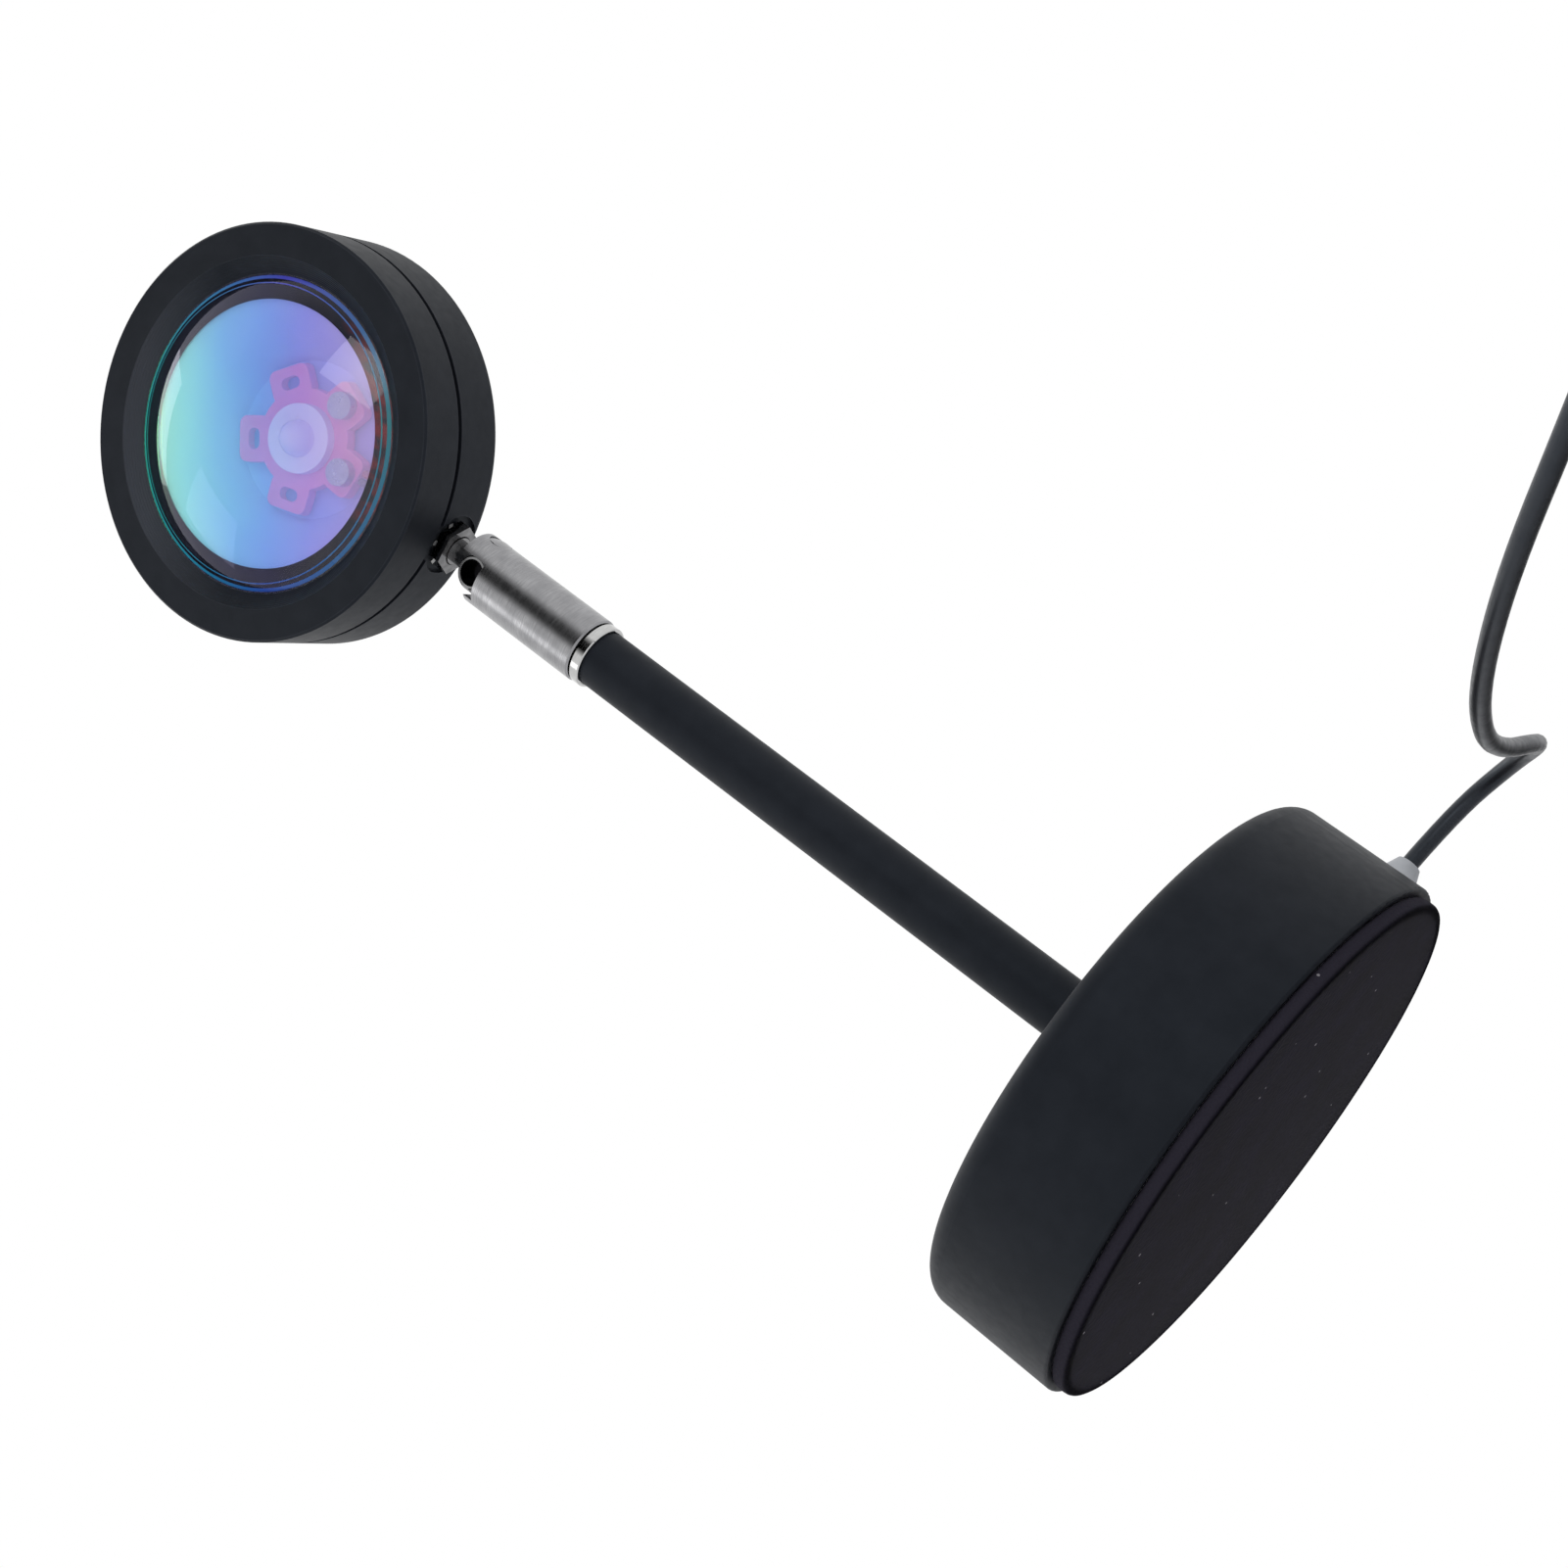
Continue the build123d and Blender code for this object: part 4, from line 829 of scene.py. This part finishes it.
def bezel_material():
    """The head's black coating, with fine turned rings on the bezel's sloped inner edge, and a painted
    highlight on the slope's left side.
    """
    material = black_coat("head_black", BEZEL_ROUGH)
    tree = material.node_tree
    radius = head_radius(tree)
    rings = math_node(tree, "SINE", math_node(tree, "MULTIPLY", radius, 2 * math.pi / RING_PITCH))
    slope = map_range(tree, radius, SLOPE_R - SLOPE_BLUR, SLOPE_R + SLOPE_BLUR, 1.0, 0.0)
    turned = math_node(tree, "MULTIPLY", rings, slope)
    relief = tree.nodes["Bump"]
    relief.inputs["Strength"].default_value = RING_RELIEF
    grain = math_node(tree, "ADD", turned, noise(tree, BLACK_GRAIN, detail=2.0))
    tree.links.new(grain, relief.inputs["Height"])
    # Painted highlight: the slope's left side is made lighter
    side = map_range(tree, face_place(tree, *FACE_RIGHT), *SLOPE_HIGHLIGHT_SIDE, 1.0, 0.0)
    paint_over(material, math_node(tree, "MULTIPLY", side, slope), SLOPE_PAINTED_HIGHLIGHT)
    return material


def housing_material():
    """The head's black coating; its inner floor, behind the film, is painted in the film's colours as a
    painted reflection of the film.
    """
    material = black_coat("housing_black", BLACK_ROUGH)
    tree = material.node_tree
    inner = math_node(tree, "LESS_THAN", place_mm(tree)["Y"], INNER_FLOOR_Y)
    near = math_node(tree, "LESS_THAN", head_radius(tree), INNER_FLOOR_R)
    # Painted reflection: the film's colours laid on the black inner floor
    paint_over(material, math_node(tree, "MULTIPLY", inner, near), film_colours(tree))
    return material


def sleeve_material():
    """Brushed steel: fine lines round the sleeve, which draw reflections out along it."""
    material = metal(
        "sleeve_brushed",
        dark=(0.22, 0.22, 0.23),
        light=(0.47, 0.47, 0.48),
        rough=(0.19, 0.27),
        grain_mm=2.2,
        depth_mm=0.003,
        stretch=(1, 1, 14),
        aniso=0.6,
    )
    tree = material.node_tree
    tangent = tree.nodes.new("ShaderNodeTangent")
    tangent.direction_type = "RADIAL"
    tangent.axis = "Z"
    shader = tree.nodes["Principled BSDF"]
    tree.links.new(tangent.outputs["Tangent"], shader.inputs["Tangent"])
    return material


def knuckle_material():
    """Dark glossy nickel, with painted shade, black, down in the port."""
    material = metal(
        "dark_nickel",
        dark=(0.14, 0.14, 0.145),
        light=(0.42, 0.42, 0.42),
        rough=(0.08, 0.2),
        grain_mm=1.5,
        depth_mm=0.01,
    )
    tree = material.node_tree
    place = place_mm(tree, (-PORT_AT[0], 0, -PORT_AT[1]))
    near = math_node(tree, "LESS_THAN", square_sum(tree, place["X"], place["Z"]), PORT_R**2)
    behind = math_node(tree, "GREATER_THAN", place["Y"], PORT_FACE_Y)
    # Painted shade: black laid down in the port hole
    paint_over(material, math_node(tree, "MULTIPLY", near, behind), PORT_PAINTED_SHADE)
    return material


def ring_material():
    """The dark ring behind the lens, with a painted red reflection in streaks at one side."""
    material = simple("ring_black", RING_DARK, RING_LIGHT, RING_ROUGH, RING_GLOSS)
    tree = material.node_tree
    # Painted reflection: red streaks laid on the ring's right side
    side = map_range(tree, face_place(tree, *FACE_RIGHT), *RED_REFLECTION_SIDE, 0.0, 1.0)
    streaks = noise(tree, REFLECTION_STREAK_GRAIN, stretch=REFLECTION_STREAK_STRETCH)
    streaks = map_range(tree, streaks, *REFLECTION_STREAK_SPAN, 0.0, 1.0)
    paint_over(material, math_node(tree, "MULTIPLY", side, streaks), RING_RED_REFLECTION)
    return material


def reflector_material():
    """The cone behind the filter, painted in the film's colours as a painted reflection of the film."""
    material, tree, shader = new_material("reflector_film_reflection")
    tree.links.new(film_colours(tree), shader.inputs["Base Color"])
    tree.links.new(vary(tree, noise(tree, CONE_GRAIN), *CONE_ROUGH), shader.inputs["Roughness"])
    return material


def rim_material():
    """A painted coloured reflection on the lens's edge: green at the sides, blue and violet at top and
    bottom.
    """
    material, tree, shader = new_material("rim_painted_reflection")
    turn = math_node(tree, "ARCTAN2", face_place(tree, *FACE_UP), face_place(tree, *FACE_RIGHT))
    share = map_range(tree, turn, -math.pi, math.pi, 0.0, 1.0)
    # Painted reflection: colours laid by the direction round the lens's face
    tree.links.new(colour_ramp(tree, share, RIM_REFLECTION_STOPS), shader.inputs["Base Color"])
    tree.links.new(vary(tree, noise(tree, RIM_GRAIN), *RIM_ROUGH), shader.inputs["Roughness"])
    return material


def make_rim(name, inner, outer):
    """A thin band on the lens's edge, just proud of the dome, that carries a painted reflection."""
    shape = bmesh.new()
    bands = []
    for radius in (inner, (inner + outer) / 2, outer):
        height = DOME_MIDDLE_Y - math.sqrt(DOME_ROUND**2 - radius**2) - RIM_PROUD
        band = []
        for angle in circle(RIM_STEPS):
            place = (radius * math.cos(angle), height, HEAD_Z + radius * math.sin(angle))
            band.append(shape.verts.new(Vector(place) * MM))
        bands.append(band)
    join_rings(shape, bands)
    data = finish_mesh(shape, name)
    data.shade_smooth()
    data.materials.append(rim_material())
    rim = add_object(name, data, "head")


def metals():
    """The bare metals that need nothing more."""
    return {
        "steel": metal(
            "steel_plain",
            dark=(0.36, 0.36, 0.36),
            light=(0.58, 0.58, 0.57),
            rough=(0.25, 0.4),
            grain_mm=0.8,
            depth_mm=0.01,
        ),
        "bright": metal(
            "bright_metal",
            dark=(0.42, 0.42, 0.42),
            light=(0.70, 0.70, 0.69),
            rough=(0.06, 0.16),
            grain_mm=1.2,
            depth_mm=0.004,
            stretch=(1, 1, 8),
        ),
        "iron": metal(
            "iron_cast",
            dark=(0.10, 0.10, 0.10),
            light=(0.20, 0.19, 0.18),
            rough=(0.5, 0.7),
            grain_mm=0.6,
            depth_mm=0.05,
        ),
        "gold": metal(
            "contact_gold",
            dark=(0.72, 0.50, 0.20),
            light=(0.90, 0.68, 0.32),
            rough=(0.12, 0.22),
            grain_mm=0.8,
            depth_mm=0.003,
            stretch=(6, 1, 1),
        ),
        "nickel": metal(
            "nut_nickel",
            dark=(0.09, 0.09, 0.095),
            light=(0.34, 0.34, 0.34),
            rough=(0.08, 0.2),
            grain_mm=1.2,
            depth_mm=0.01,
        ),
    }


def case_material():
    """The moulded black of the switch, plug and tie."""
    return coated(
        "case_black",
        dark=(0.012, 0.012, 0.013),
        light=(0.017, 0.017, 0.019),
        grain_mm=0.3,
        depth_mm=0.02,
        rough=(0.42, 0.55),
        gloss=0.4,
        wear=BLACK_WORN,
    )


def cord_material():
    """The lead's smooth black sheath."""
    return coated(
        "cord_black",
        dark=(0.010, 0.010, 0.012),
        light=(0.016, 0.016, 0.018),
        grain_mm=0.3,
        depth_mm=0.012,
        rough=(0.30, 0.42),
        gloss=0.45,
        wear=BLACK_WORN,
    )


def dress():
    """Gives every shown piece its material; a piece that isn't named here is plain steel."""
    black = black_coat("powder_black", BLACK_ROUGH)
    plain = metals()
    case = case_material()
    cord = cord_material()
    sleeve = sleeve_material()
    looks = {
        "base_shell": black,
        "stem_tube": black,
        "head_housing": housing_material(),
        "head_bezel": bezel_material(),
        "swivel_sleeve": sleeve,
        "tilt_knuckle": knuckle_material(),
        "tilt_pin": sleeve,
        "turn_collar": plain["bright"],
        "neck_nut": plain["nickel"],
        "lock_washer": plain["bright"],
        "plug_shell": plain["bright"],
        "lens": lens_material(),
        "colour_filter": film_material(),
        "lens_ring": ring_material(),
        "reflector": reflector_material(),
        "light_board": simple("board_pink", (1.0, 0.16, 0.40), (1.0, 0.24, 0.50), (0.3, 0.45)),
        "light_source": simple("source_pale", (0.96, 0.80, 0.92), (1.0, 0.90, 0.97), (0.3, 0.4)),
        "source_dome": simple("source_dome", (0.94, 0.74, 0.90), (0.99, 0.84, 0.96), (0.12, 0.2)),
        "heat_pad": simple("heat_pad_blue", (0.26, 0.38, 0.74), (0.33, 0.46, 0.84), (0.7, 0.9)),
        "head_lead_red": simple("wire_red", (0.42, 0.02, 0.015), (0.52, 0.03, 0.02), (0.35, 0.5)),
        "head_lead_black": cord,
        "stem_lead": cord,
        "lead_grommet": simple("grommet_pale", (0.30, 0.31, 0.33), (0.44, 0.45, 0.47), (0.35, 0.5)),
        "switch_lower": case,
        "switch_upper": case,
        "plug_body": case,
        "lead_tie": case,
        "switch_button": simple("button_grey", (0.05, 0.05, 0.055), (0.07, 0.07, 0.075), (0.4, 0.55)),
        "switch_board": simple("circuit_green", (0.01, 0.10, 0.04), (0.02, 0.16, 0.06), (0.35, 0.5)),
        "plug_tongue": simple("tongue_white", (0.66, 0.66, 0.64), (0.74, 0.74, 0.72), (0.35, 0.5)),
        "plug_contacts": plain["gold"],
        "ballast_ring": plain["iron"],
    }
    for name, node in nodes.items():
        material = looks.get(name, plain["steel"])
        for place in node.material_slots:
            place.material = material
    bpy.data.objects["lead_cord"].data.materials.append(cord)
    bpy.data.objects["soft_pad"].data.materials.append(foam_material())


make_camera()
make_world()
make_flag()
make_floor()
for box_name, place, size, power in SOFT_BOXES:
    make_light(box_name, place, HEAD_MIDDLE, size, power)
make_lead()
make_pad()
dress()
make_rim("lens_edge_outer", *RIM_OUTER)
make_rim("lens_edge_inner", *RIM_INNER)
bpy.context.scene.view_settings.view_transform = "Standard"
